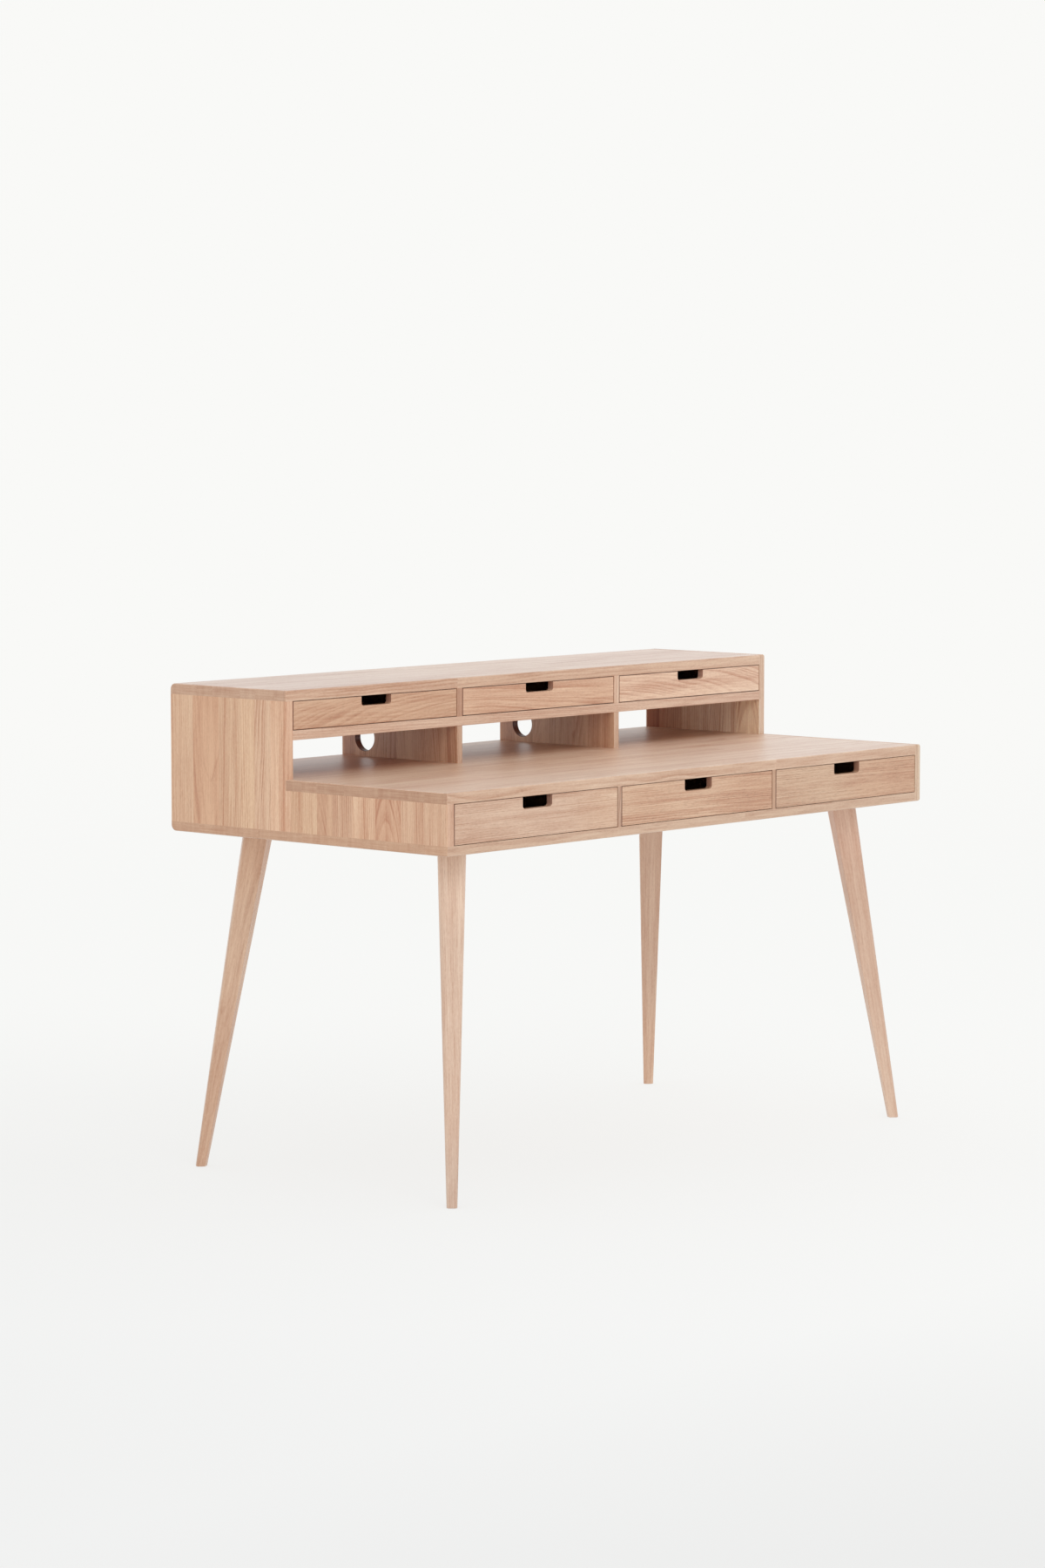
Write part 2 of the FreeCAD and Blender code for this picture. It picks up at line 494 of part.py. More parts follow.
for side, d in zip(("left", "right"), UPPER_DIV):
    b = board("upper_divider_" + side, d - X_IN, Y_GALLERY, Z_UPPER, S["gallery_divider"], UPPER_DEEP, S["upper_cell"])
    mid = S["gallery_divider"] / 2
    cut(b, b.Label + "_foot_dowels", "XY_Plane", ZERO, dots([(mid, y) for y in UPPER_PINS], S["pin_dia"]), S["pin_edge"], +1)
    cut(b, b.Label + "_head_dowels", "XY_Plane", S["upper_cell"], dots([(mid, y) for y in UPPER_PINS], S["pin_dia"]), S["pin_edge"], -1)
    groove = slots((RUN_START, UPPER_RUN, RUN_START + S["upper_runner_long"], UPPER_RUN + S["upper_runner_high"]))
    cut(b, b.Label + "_groove_left", "YZ_Plane", ZERO, groove, S["runner_wall"], +1)
    cut(b, b.Label + "_groove_right", "YZ_Plane", S["gallery_divider"], groove, S["runner_wall"], -1)

for side, d in zip(("left", "right"), UPPER_DIV):
    b = board("cubby_divider_" + side, d - X_IN, Y_GALLERY, Z_CUBBY, S["gallery_divider"], S["gallery_depth"], S["cubby_cell"])
    mid = S["gallery_divider"] / 2
    cut(b, b.Label + "_foot_dowels", "XY_Plane", ZERO, dots([(mid, y) for y in CUBBY_PINS], S["pin_dia"]), S["pin_edge"], +1)
    cut(b, b.Label + "_head_dowels", "XY_Plane", S["cubby_cell"], dots([(mid, y) for y in CUBBY_PINS], S["pin_dia"]), S["pin_edge"], -1)
    cut(b, b.Label + "_cable_hole", "YZ_Plane", ZERO, dots([(S["gallery_depth"] - S["cable_hole_rear"], S["cubby_cell"] / 2)], S["cable_hole"]), S["gallery_divider"], +1)
    ease(b, b.Label + "_hole_edge", S["round_soft"],
         lambda e: len(e.Vertexes) == 1 and abs(e.Curve.Radius - S["cable_hole"].v / 2) < 1e-3)
    ease(b, b.Label + "_front_edges", S["round_front"], lambda e: touches(e, x=ZERO, y=ZERO) or touches(e, x=S["gallery_divider"], y=ZERO))

board("lower_back_panel", -X_IN, Y_BACK - BACK_DEEP, Z_LOWER, INSIDE, S["back_thick"], S["lower_cell"])
board("upper_back_panel", -X_IN, Y_BACK - BACK_DEEP, Z_UPPER, INSIDE, S["back_thick"], S["upper_cell"])

# ---------------------------------------------------------------------------
# Legs: straight tapers leaning outwards along both axes.  The section has two
# soft outer corners and a low keel on the inner side that falls unevenly to
# its shoulders; each leg is turned so that its outer face looks along its lean
# ---------------------------------------------------------------------------
def leg_section(sk, place, hand):
    w, d = S["leg_%s_width" % place] / 2, S["leg_%s_depth" % place] / 2
    r = S["leg_%s_round" % place]
    falls = S["leg_%s_keel_end" % place], S["leg_%s_keel_long" % place]
    fall_low, fall_high = falls if hand > 0 else falls[::-1]
    x_low, x_high = d - fall_low, d - fall_high
    x_flat, y_flat = d.v - r.v, w.v - r.v
    base = sk.GeometryCount
    low, keel_a, keel_b, high, arc_high, outer, arc_low = range(base, base + 7)
    for a, b in (((-x_flat, -w.v), (x_low.v, -w.v)), ((x_low.v, -w.v), (d.v, 0)), ((d.v, 0), (x_high.v, w.v)), ((x_high.v, w.v), (-x_flat, w.v))):
        sk.addGeometry(Part.LineSegment(V(a[0], a[1], 0), V(b[0], b[1], 0)), False)
    sk.addGeometry(Part.ArcOfCircle(Part.Circle(V(-x_flat, y_flat, 0), V(0, 0, 1), r.v), math.pi / 2, math.pi), False)
    sk.addGeometry(Part.LineSegment(V(-d.v, y_flat, 0), V(-d.v, -y_flat, 0)), False)
    sk.addGeometry(Part.ArcOfCircle(Part.Circle(V(-x_flat, -y_flat, 0), V(0, 0, 1), r.v), math.pi, math.pi * 1.5), False)
    for first, then in ((low, keel_a), (keel_a, keel_b), (keel_b, high)):
        sk.addConstraint(Sketcher.Constraint("Coincident", first, 2, then, 1))
    for first, then in ((high, arc_high), (arc_high, outer), (outer, arc_low), (arc_low, low)):
        sk.addConstraint(Sketcher.Constraint("Tangent", first, 2, then, 1))
    sk.addConstraint(Sketcher.Constraint("Horizontal", low))
    sk.addConstraint(Sketcher.Constraint("Horizontal", high))
    sk.addConstraint(Sketcher.Constraint("Vertical", outer))
    sk.addConstraint(Sketcher.Constraint("Equal", arc_high, arc_low))
    i = sk.addConstraint(Sketcher.Constraint("Radius", arc_high, r.v))
    sk.setExpression("Constraints[%d]" % i, r.e)
    pin(sk, "X", keel_b, 1, d)
    pin(sk, "Y", keel_b, 1, ZERO)
    pin(sk, "X", keel_a, 1, x_low)
    pin(sk, "Y", keel_a, 1, -w)
    pin(sk, "X", high, 1, x_high)
    pin(sk, "Y", high, 1, w)
    pin(sk, "X", outer, 1, -d)


def along_leg(edge):
    """True for an edge that runs from the foot to the case."""
    return len(edge.Vertexes) == 2 and abs(edge.Vertexes[0].Point.z - edge.Vertexes[1].Point.z) > 100


for fb, sy in (("front", -1), ("rear", 1)):
    for lr, sx in (("left", -1), ("right", 1)):
        name = "leg_%s_%s" % (fb, lr)
        turn = math.degrees(math.atan2(-sy * SPLAY_Y.v, -sx * SPLAY_X.v))
        leg = new_body(name, S["leg_foot_x"] * sx, S["leg_foot_y"] * sy, ZERO, turn)
        foot = new_sketch(leg, name + "_foot_section", "XY_Plane")
        leg_section(foot, "foot", sx * sy)
        head = leg.newObject("Sketcher::SketchObject", name + "_head_section")
        head.AttachmentSupport = [(plane_of(leg, "XY_Plane"), "")]
        head.MapMode = "FlatFace"
        head.AttachmentOffset = FreeCAD.Placement(V(SPLAY.v, 0, S["leg_height"].v), FreeCAD.Rotation())
        head.setExpression("AttachmentOffset.Base.x", SPLAY.e)
        head.setExpression("AttachmentOffset.Base.z", S["leg_height"].e)
        leg_section(head, "top", sx * sy)
        doc.recompute()
        loft = leg.newObject("PartDesign::AdditiveLoft", name + "_taper")
        loft.Profile = foot
        loft.Sections = [head]
        loft.Ruled = True
        foot.Visibility = False
        head.Visibility = False
        doc.recompute()
        cut(leg, name + "_insert_bores", "XY_Plane", S["leg_height"],
            dots([(SPLAY, -S["bolt_half_pitch"]), (SPLAY, S["bolt_half_pitch"])], S["insert_dia"]), S["insert_long"], -1)
        ridge = S["leg_foot_depth"].v / 2
        wide = S["leg_foot_width"].v / 2
        shoulders = [ridge - S["leg_foot_keel_long"].v, ridge - S["leg_foot_keel_end"].v]
        ease(leg, name + "_keel", S["leg_keel_round"], lambda e: along_leg(e) and any(
            abs(v.Point.x - ridge) < 1e-3 and abs(v.Point.y) < 1e-3 for v in e.Vertexes))
        ease(leg, name + "_edges", S["leg_edge_round"], lambda e: along_leg(e) and any(
            min(abs(v.Point.x - s) for s in shoulders) < 1e-3 and abs(abs(v.Point.y) - wide) < 1e-3 for v in e.Vertexes))
        ease(leg, name + "_foot_ease", S["foot_ease"], lambda e: touches(e, z=ZERO))

# ---------------------------------------------------------------------------
# Leg fasteners: bolts from inside the case into threaded inserts
# ---------------------------------------------------------------------------
POINTS = bolt_points(ZERO, ZERO)
bolts = new_body("leg_bolts", ZERO, ZERO, Z_LOWER - S["bolt_sink"])
sk = new_sketch(bolts, "leg_bolt_heads", "XY_Plane")
dots(POINTS, S["bolt_head_dia"])(sk)
pad(bolts, "leg_bolt_head", sk, S["bolt_head_high"], +1)
sk = new_sketch(bolts, "leg_bolt_shanks", "XY_Plane")
dots(POINTS, S["bolt_dia"])(sk)
pad(bolts, "leg_bolt_shank", sk, S["bottom_thick"] - S["bolt_sink"] + S["insert_long"], -1)
cut(bolts, "leg_bolt_sockets", "XY_Plane", S["bolt_head_high"], dots(POINTS, S["bolt_dia"] * 0.75), S["bolt_head_high"] * 0.6, -1)

inserts = new_body("leg_inserts", ZERO, ZERO, Z_BOTTOM)
sk = new_sketch(inserts, "leg_insert_rings", "XY_Plane")
for x, y in POINTS:
    circle(sk, x, y, S["insert_dia"])
    circle(sk, x, y, S["bolt_dia"])
pad(inserts, "leg_insert", sk, S["insert_long"], -1)

# ---------------------------------------------------------------------------
# Dowels of the case (8 mm) and of the dividers (6 mm)
# ---------------------------------------------------------------------------
def pegs(body, name, role, at, points, dia, length, forward):
    sk = new_sketch(body, name + "_ends", role, at)
    dots(points, dia)(sk)
    pad(body, name, sk, length, forward)


DOWEL_LONG = S["dowel_face"] + S["dowel_edge"]
PIN_LONG = S["pin_face"] + S["pin_edge"]
# Local corner: left outer face, front edge, underside of the case.
dw = new_body("case_dowels", X_LEFT, Y_FRONT, Z_BOTTOM)
ALL_ROWS = ROWS_FRONT + ROWS_REAR
pegs(dw, "pegs_left_bottom", "XY_Plane", S["bottom_thick"] - S["dowel_face"], [(HALF, y) for y in ALL_ROWS], S["dowel_dia"], DOWEL_LONG, +1)
pegs(dw, "pegs_left_desk", "XY_Plane", Z_DESK - Z_BOTTOM - S["dowel_edge"], [(HALF, y) for y in ROWS_FRONT], S["dowel_dia"], DOWEL_LONG, +1)
pegs(dw, "pegs_left_top", "XY_Plane", Z_TOP - Z_BOTTOM - S["dowel_edge"], [(HALF, y) for y in ROWS_REAR], S["dowel_dia"], DOWEL_LONG, +1)
pegs(dw, "pegs_left_boards", "YZ_Plane", S["side_thick"] - S["dowel_face"],
     [(y, z) for y in ROWS_REAR for z in (Z_DESK - Z_BOTTOM + S["desktop_thick"] / 2, Z_SHELF - Z_BOTTOM + S["shelf_thick"] / 2)], S["dowel_dia"], DOWEL_LONG, +1)
pegs(dw, "pegs_right_boards", "YZ_Plane", BOARD_LONG - S["dowel_edge"], R_ROWS, S["dowel_dia"], DOWEL_LONG, +1)

# Local corner: inner face of the left panel, front edge, underside of the case.
pn = new_body("divider_dowels", -X_IN, Y_FRONT, Z_BOTTOM)
LOW_XY = [(d + S["lower_divider"] / 2, y) for d in LOWER_DIV for y in LOWER_PINS]
CUB_XY = [(d + S["gallery_divider"] / 2, FRONT_ZONE + y) for d in UPPER_DIV for y in CUBBY_PINS]
UPP_XY = [(d + S["gallery_divider"] / 2, FRONT_ZONE + y) for d in UPPER_DIV for y in UPPER_PINS]
pegs(pn, "pegs_lower_foot", "XY_Plane", Z_LOWER - Z_BOTTOM - S["pin_face"], LOW_XY, S["pin_dia"], PIN_LONG, +1)
pegs(pn, "pegs_lower_head", "XY_Plane", Z_DESK - Z_BOTTOM - S["pin_edge"], LOW_XY, S["pin_dia"], PIN_LONG, +1)
pegs(pn, "pegs_cubby_foot", "XY_Plane", Z_CUBBY - Z_BOTTOM - S["pin_face"], CUB_XY, S["pin_dia"], PIN_LONG, +1)
pegs(pn, "pegs_cubby_head", "XY_Plane", Z_SHELF - Z_BOTTOM - S["pin_edge"], CUB_XY, S["pin_dia"], PIN_LONG, +1)
pegs(pn, "pegs_upper_foot", "XY_Plane", Z_UPPER - Z_BOTTOM - S["pin_face"], UPP_XY, S["pin_dia"], PIN_LONG, +1)
pegs(pn, "pegs_upper_head", "XY_Plane", Z_TOP - Z_BOTTOM - S["pin_edge"], UPP_XY, S["pin_dia"], PIN_LONG, +1)

# ---------------------------------------------------------------------------
# Drawer runners: strips let into the walls of each cell
# ---------------------------------------------------------------------------
def runners(name, y, z, cells, width, long, high):
    body = new_body(name, -X_IN - S["runner_wall"], y + RUN_START, z)
    sk = new_sketch(body, name + "_plan", "XY_Plane")
    across = S["runner_wall"] + S["side_gap"] + S["runner_reach"]
    for c in cells:
        rect(sk, c, ZERO, c + across, long)
        far = c + width + S["runner_wall"] * 2
        rect(sk, far - across, ZERO, far, long)
    pad(body, name + "_strip", sk, high, +1)


runners("lower_drawer_runners", Y_FRONT, Z_LOWER + LOWER_RUN, LOWER_CELLS, LOWER_W, S["lower_runner_long"], S["lower_runner_high"])
runners("upper_drawer_runners", Y_GALLERY, Z_UPPER + UPPER_RUN, UPPER_CELLS, UPPER_W, S["upper_runner_long"], S["upper_runner_high"])

# ---------------------------------------------------------------------------
# Drawers
# ---------------------------------------------------------------------------
def drawer(tier, place, cell, width, tall, y, z):
    tag = "%s_%s" % (tier, place)
    high = S[tier + "_side_high"]
    lift = S[tier + "_side_lift"]
    long = S[tier + "_box_long"] + S["tongue"]
    base = S[tier + "_base_thick"]
    base_up = S[tier + "_base_up"]
    run_up = S[tier + "_groove_up"]
    run_high = S[tier + "_runner_high"] + S["runner_play"] * 2
    notch = S[tier + "_notch"]
    x0 = cell - X_IN

    # front with a finger notch in its top edge
    fw = width - S["front_gap"] * 2
    fh = tall - S["front_play"] * 2
    front = board("drawer_front_" + tag, x0 + S["front_gap"], y, z + S["front_play"], fw, S["front_thick"], fh)
    cut(front, "notch_" + tag, "XZ_Plane", ZERO,
        slots(((fw - S["notch_width"]) / 2, fh - notch, (fw + S["notch_width"]) / 2, fh)), S["front_thick"], +1)
    a = S["side_gap"] - S["front_gap"]
    b = a + S["box_side"]
    foot = lift - S["front_play"]
    cut(front, "housings_" + tag, "XZ_Plane", S["front_thick"],
        slots((a, foot, b, foot + high), (fw - b, foot, fw - a, foot + high)), S["tongue"], -1)
    cut(front, "base_groove_" + tag, "XZ_Plane", S["front_thick"],
        slots((b, foot + base_up, fw - b, foot + base_up + base)), S["tongue"], -1)
    ease(front, "notch_corners_" + tag, S["notch_round"],
         lambda e: touches(e, z=fh - notch) and abs(e.Vertexes[0].Point.x - e.Vertexes[-1].Point.x) < 1e-3)
    ease(front, "outline_" + tag, S["round_front"], lambda e: touches(e, y=ZERO))

    # sides with an outer groove for the runner and an inner one for the bottom
    ys = y + S["front_thick"] - S["tongue"]
    zs = z + lift
    for lr in ("left", "right"):
        xs = x0 + S["side_gap"] if lr == "left" else x0 + width - S["side_gap"] - S["box_side"]
        side = board("drawer_side_%s_%s" % (lr, tag), xs, ys, zs, S["box_side"], long, high)
        outer, inner, inward = (ZERO, S["box_side"], +1) if lr == "left" else (S["box_side"], ZERO, -1)
        cut(side, "run_%s_%s" % (lr, tag), "YZ_Plane", outer, slots((S["tongue"], run_up, long, run_up + run_high)), S["runner_groove"], inward)
        cut(side, "base_%s_%s" % (lr, tag), "YZ_Plane", inner, slots((ZERO, base_up, long, base_up + base)), S["bottom_let"], -inward)
        rear = long - S["box_back_set"]
        cut(side, "back_%s_%s" % (lr, tag), "YZ_Plane", inner, slots((rear - S["box_back"], base_up + base, rear, high)), S["box_back_let"], -inward)

    # back and bottom
    xi = x0 + S["side_gap"] + S["box_side"]
    wi = width - (S["side_gap"] + S["box_side"]) * 2
    rear = long - S["box_back_set"]
    board("drawer_back_" + tag, xi - S["box_back_let"], ys + rear - S["box_back"], zs + base_up + base,
          wi + S["box_back_let"] * 2, S["box_back"], high - base_up - base)
    board("drawer_bottom_" + tag, xi - S["bottom_let"], ys, zs + base_up, wi + S["bottom_let"] * 2, rear, base)


for place, cell in zip(("left", "middle", "right"), LOWER_CELLS):
    drawer("lower", place, cell, LOWER_W, S["lower_cell"], Y_FRONT, Z_LOWER)
for place, cell in zip(("left", "middle", "right"), UPPER_CELLS):
    drawer("upper", place, cell, UPPER_W, S["upper_cell"], Y_GALLERY, Z_UPPER)

# ---------------------------------------------------------------------------
# Check everything, then write one file per piece
# ---------------------------------------------------------------------------
doc.recompute()
for obj in doc.Objects:
    if "Invalid" in obj.State or "Error" in obj.State:
        raise RuntimeError("not built: " + obj.Label)
for body in NODES:
    if body.Shape.isNull() or not body.Shape.isValid() or body.Shape.Volume <= 0:
        raise RuntimeError("bad shape: " + body.Label)

os.makedirs("parts", exist_ok=True)
for body in NODES:
    body.Shape.exportStep("parts/%s.step" % body.Label)
    print("%-32s solids %2d  volume %12.1f" % (body.Label, len(body.Shape.Solids), body.Shape.Volume))
print("pieces", len(NODES))
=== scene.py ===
import math

import bpy
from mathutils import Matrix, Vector


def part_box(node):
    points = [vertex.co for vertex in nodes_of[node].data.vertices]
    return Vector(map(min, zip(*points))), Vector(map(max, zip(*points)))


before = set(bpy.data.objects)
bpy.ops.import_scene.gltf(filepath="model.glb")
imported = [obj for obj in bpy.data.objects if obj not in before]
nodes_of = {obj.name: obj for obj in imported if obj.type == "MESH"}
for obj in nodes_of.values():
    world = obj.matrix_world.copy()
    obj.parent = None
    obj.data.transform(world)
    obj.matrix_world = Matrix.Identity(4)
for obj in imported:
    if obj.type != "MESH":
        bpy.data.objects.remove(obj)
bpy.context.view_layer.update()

scene = bpy.context.scene


def srgb(red, green, blue):
    """A colour given as 0-255 display values, as the linear RGBA that nodes take."""
    linear = []
    for value in (red, green, blue):
        value /= 255.0
        linear.append(value / 12.92 if value <= 0.04045 else ((value + 0.055) / 1.055) ** 2.4)
    return (*linear, 1.0)


# ---------------------------------------------------------------- node wiring


class Wire:
    """Short hand for building a node tree: every method returns an output socket."""

    def __init__(self, tree):
        self.tree = tree

    def add(self, kind, **settings):
        node = self.tree.nodes.new(kind)
        for name, value in settings.items():
            setattr(node, name, value)
        return node

    def put(self, socket, value):
        if isinstance(value, bpy.types.NodeSocket):
            self.tree.links.new(value, socket)
        elif value is not None:
            socket.default_value = value

    def math(self, operation, a, b=None, c=None, clamp=False):
        node = self.add("ShaderNodeMath", operation=operation, use_clamp=clamp)
        for socket, value in zip(node.inputs, (a, b, c)):
            self.put(socket, value)
        return node.outputs[0]

    def plus(self, a, b):
        return self.math("ADD", a, b)

    def minus(self, a, b):
        return self.math("SUBTRACT", a, b)

    def times(self, a, b):
        return self.math("MULTIPLY", a, b)

    def madd(self, a, b, c):
        return self.math("MULTIPLY_ADD", a, b, c)

    def vector(self, operation, a, b=None):
        node = self.add("ShaderNodeVectorMath", operation=operation)
        self.put(node.inputs[0], a)
        if operation == "SCALE":
            self.put(node.inputs["Scale"], b)
        else:
            self.put(node.inputs[1], b)
        return node.outputs["Value" if operation in ("DOT_PRODUCT", "LENGTH") else "Vector"]

    def split(self, value):
        node = self.add("ShaderNodeSeparateXYZ")
        self.put(node.inputs[0], value)
        return tuple(node.outputs)

    def join(self, x, y, z):
        node = self.add("ShaderNodeCombineXYZ")
        for socket, value in zip(node.inputs, (x, y, z)):
            self.put(socket, value)
        return node.outputs[0]

    def noise(self, at, scale=1.0, detail=2.0, rough=0.5, colour=False):
        node = self.add("ShaderNodeTexNoise", noise_dimensions="3D")
        self.put(node.inputs["Vector"], at)
        node.inputs["Scale"].default_value = scale
        node.inputs["Detail"].default_value = detail
        node.inputs["Roughness"].default_value = rough
        return node.outputs["Color" if colour else "Fac"]

    def noise_1d(self, at, scale=1.0, detail=1.0):
        node = self.add("ShaderNodeTexNoise", noise_dimensions="1D")
        self.put(node.inputs["W"], at)
        node.inputs["Scale"].default_value = scale
        node.inputs["Detail"].default_value = detail
        return node.outputs["Fac"]

    def chance(self, at, dimensions="3D"):
        node = self.add("ShaderNodeTexWhiteNoise", noise_dimensions=dimensions)
        self.put(node.inputs["W" if dimensions == "1D" else "Vector"], at)
        return node.outputs

    def span(self, value, low, high, to_low=0.0, to_high=1.0, smooth=True):
        node = self.add("ShaderNodeMapRange", interpolation_type="SMOOTHSTEP" if smooth else "LINEAR")
        for socket, number in zip(node.inputs, (value, low, high, to_low, to_high)):
            self.put(socket, number)
        return node.outputs[0]

    def mix(self, factor, a, b, blend="MIX"):
        node = self.add("ShaderNodeMix", data_type="RGBA", blend_type=blend)
        self.put(node.inputs[0], factor)
        self.put(node.inputs[6], a)
        self.put(node.inputs[7], b)
        return node.outputs[2]

    def steps(self, value, edges, levels):
        """A staircase: levels[i] between edges[i - 1] and edges[i], as a grey."""
        node = self.add("ShaderNodeValToRGB")
        self.put(node.inputs[0], value)
        ramp = node.color_ramp
        ramp.interpolation = "CONSTANT"
        ramp.elements.remove(ramp.elements[1])
        ramp.elements[0].position = 0.0
        ramp.elements[0].color = (levels[0],) * 3 + (1.0,)
        for edge, level in zip(edges, levels[1:]):
            ramp.elements.new(edge).color = (level,) * 3 + (1.0,)
        return node.outputs[0]


# ---------------------------------------------------------------- oak

OAK_INPUTS = [
    ("Board", "NodeSocketVector", (0, 0, 0)),   # metres: along the grain, across, through
    ("Cell", "NodeSocketVector", (0, 0, 0)),    # which stave of a glued-up panel
    ("End", "NodeSocketFloat", 0.0),            # 1 on a face that cuts the grain across
    ("Heart Across", "NodeSocketFloat", 0.0),   # where the tree's heart runs, seen from the board
    ("Heart Through", "NodeSocketFloat", 0.08),
    ("Heart Spread", "NodeSocketFloat", 0.0),
    ("Slope", "NodeSocketFloat", 0.0),          # how much the heart leans against the board
    ("Lean Spread", "NodeSocketFloat", 0.0),
    ("Warp", "NodeSocketFloat", 0.006),
    ("Ring Gap", "NodeSocketFloat", 0.0035),
    ("Ring Depth", "NodeSocketFloat", 0.55),
    ("Streak Depth", "NodeSocketFloat", 1.4),
    ("Fibre Depth", "NodeSocketFloat", 0.9),
    ("Pore Depth", "NodeSocketFloat", 0.50),
    ("Tone", "NodeSocketFloat", 1.0),
    ("Tone Spread", "NodeSocketFloat", 0.0),
    ("Red", "NodeSocketFloat", 0.0),
    ("Red Spread", "NodeSocketFloat", 0.0),
    ("Light", "NodeSocketColor", srgb(220, 184, 153)),
    ("Dark", "NodeSocketColor", srgb(184, 129, 97)),
    ("End Tint", "NodeSocketColor", (0.86, 0.82, 0.80, 1.0)),
]


def oak_group():
    """Solid oak in three dimensions: year rings round a heart, open pores, streaks and fibres."""
    tree = bpy.data.node_groups.new("oak", "ShaderNodeTree")
    for name, kind, default in OAK_INPUTS:
        socket = tree.interface.new_socket(name, in_out="INPUT", socket_type=kind)
        socket.default_value = default
    for name, kind in (("Colour", "NodeSocketColor"), ("Roughness", "NodeSocketFloat"), ("Height", "NodeSocketFloat")):
        tree.interface.new_socket(name, in_out="OUTPUT", socket_type=kind)
    w = Wire(tree)
    given = w.add("NodeGroupInput").outputs
    result = w.add("NodeGroupOutput").inputs

    along, across, through = w.split(given["Board"])
    luck = w.chance(given["Cell"])["Color"]
    luck_a, luck_b, luck_c = w.split(luck)

    far = w.vector("SCALE", luck, 37.0)

    def field(scale_along, scale_across, detail, rough=0.5, colour=False):
        at = w.join(w.times(along, scale_along), w.times(across, scale_across), w.times(through, scale_across))
        return w.noise(w.vector("ADD", at, far), 1.0, detail, rough, colour)

    # slow wander of the grain, then a shorter sway and a fine tremor
    slow_a, slow_b, slow_c = w.split(w.vector("SUBTRACT", field(1.9, 7.0, 2.0, colour=True), (0.5, 0.5, 0.5)))
    sway_a, sway_b, sway_c = w.split(w.vector("SUBTRACT", field(7.0, 30.0, 1.0, colour=True), (0.5, 0.5, 0.5)))
    tremor = w.times(w.minus(field(14.0, 110.0, 2.0), 0.5), 0.0012)
    across_w = w.plus(w.madd(sway_a, 0.005, w.madd(slow_a, given["Warp"], across)), tremor)
    through_w = w.madd(sway_b, 0.004, w.madd(slow_b, given["Warp"], through))

    # distance from the heart, in rings of uneven width
    heart_a = w.madd(w.minus(luck_a, 0.5), given["Heart Spread"], given["Heart Across"])
    heart_t = w.times(given["Heart Through"], w.madd(luck_b, 0.8, 0.6))
    lean = w.madd(w.minus(luck_c, 0.5), given["Lean Spread"], given["Slope"])
    side = w.minus(across_w, heart_a)
    deep = w.madd(along, lean, w.plus(through_w, heart_t))
    radius = w.math("SQRT", w.plus(w.times(side, side), w.times(deep, deep)))
    wide = w.noise_1d(w.plus(radius, luck_b), 30.0, 2.0)
    rings = w.madd(wide, 5.0, w.math("DIVIDE", radius, given["Ring Gap"]))
    turn = w.math("FRACT", rings)
    year = w.math("FLOOR", rings)
    weight = w.madd(w.chance(w.plus(year, w.times(luck_a, 91.0)), "1D")["Value"], 0.8, 0.2)
    lasting = w.span(field(4.0, 45.0, 2.0), 0.34, 0.66, 0.35, 1.0)
    cut_across = w.madd(given["End"], -0.45, 1.0)
    early = w.times(w.plus(w.span(turn, 0.0, 0.70, 1.0, 0.0), w.span(turn, 0.84, 1.0)), w.times(w.times(weight, lasting), cut_across))

    # open pores: long thin dashes, thick in the early wood of each ring
    pore = w.times(w.span(field(85.0, 1250.0, 1.0), 0.55, 0.70), w.madd(early, 0.75, 0.25))
    pore_b = w.times(w.span(field(62.0, 500.0, 1.5), 0.54, 0.72), w.madd(early, 0.70, 0.30))

    # broad streaks and fine fibres
    streak = w.minus(field(0.8, 46.0, 3.0, 0.55), 0.5)
    fibre = w.minus(field(12.0, 300.0, 2.0, 0.6), 0.5)
    cloud = w.minus(field(3.0, 9.0, 2.0), 0.5)
    fleck = w.minus(field(170.0, 520.0, 1.5), 0.5)

    dark = w.madd(w.minus(early, 0.18), given["Ring Depth"], w.madd(streak, given["Streak Depth"], w.madd(fibre, given["Fibre Depth"], w.madd(fleck, 0.55, w.madd(cloud, 0.8, 0.40)))))

    # a cut across the grain shows rays from face to face and the rings as fine lines
    rays = w.minus(w.noise(w.vector("ADD", w.join(w.times(across, 85.0), w.times(through, 7.0), 0.0), far), 1.0, 2.5), 0.5)
    lines = w.minus(w.noise(w.vector("ADD", w.join(w.times(across, 14.0), w.times(through, 430.0), 0.0), far), 1.0, 2.0), 0.5)
    dark_end = w.madd(rays, 0.7, w.madd(lines, 1.2, w.madd(cloud, 0.4, w.madd(fibre, 0.35, 0.45))))
    dark = w.madd(given["End"], w.minus(dark_end, dark), dark)
    colour = w.mix(w.math("MULTIPLY", dark, 1.0, clamp=True), given["Light"], given["Dark"])
    pores = w.times(w.math("MAXIMUM", pore, w.times(pore_b, 0.8)), given["Pore Depth"])
    colour = w.mix(pores, colour, srgb(142, 98, 72))
    red = w.madd(w.minus(luck_b, 0.5), given["Red Spread"], given["Red"])
    colour = w.mix(w.math("MAXIMUM", red, 0.0), colour, w.mix(1.0, colour, (1.0, 0.86, 0.76, 1.0), "MULTIPLY"))
    colour = w.mix(w.math("MAXIMUM", w.times(red, -1.0), 0.0), colour, w.mix(1.0, colour, (1.0, 1.04, 0.86, 1.0), "MULTIPLY"))
    tone = w.madd(w.minus(luck_a, 0.5), given["Tone Spread"], given["Tone"])
    colour = w.vector("SCALE", colour, tone)
    colour = w.mix(given["End"], colour, w.mix(1.0, colour, given["End Tint"], "MULTIPLY"))

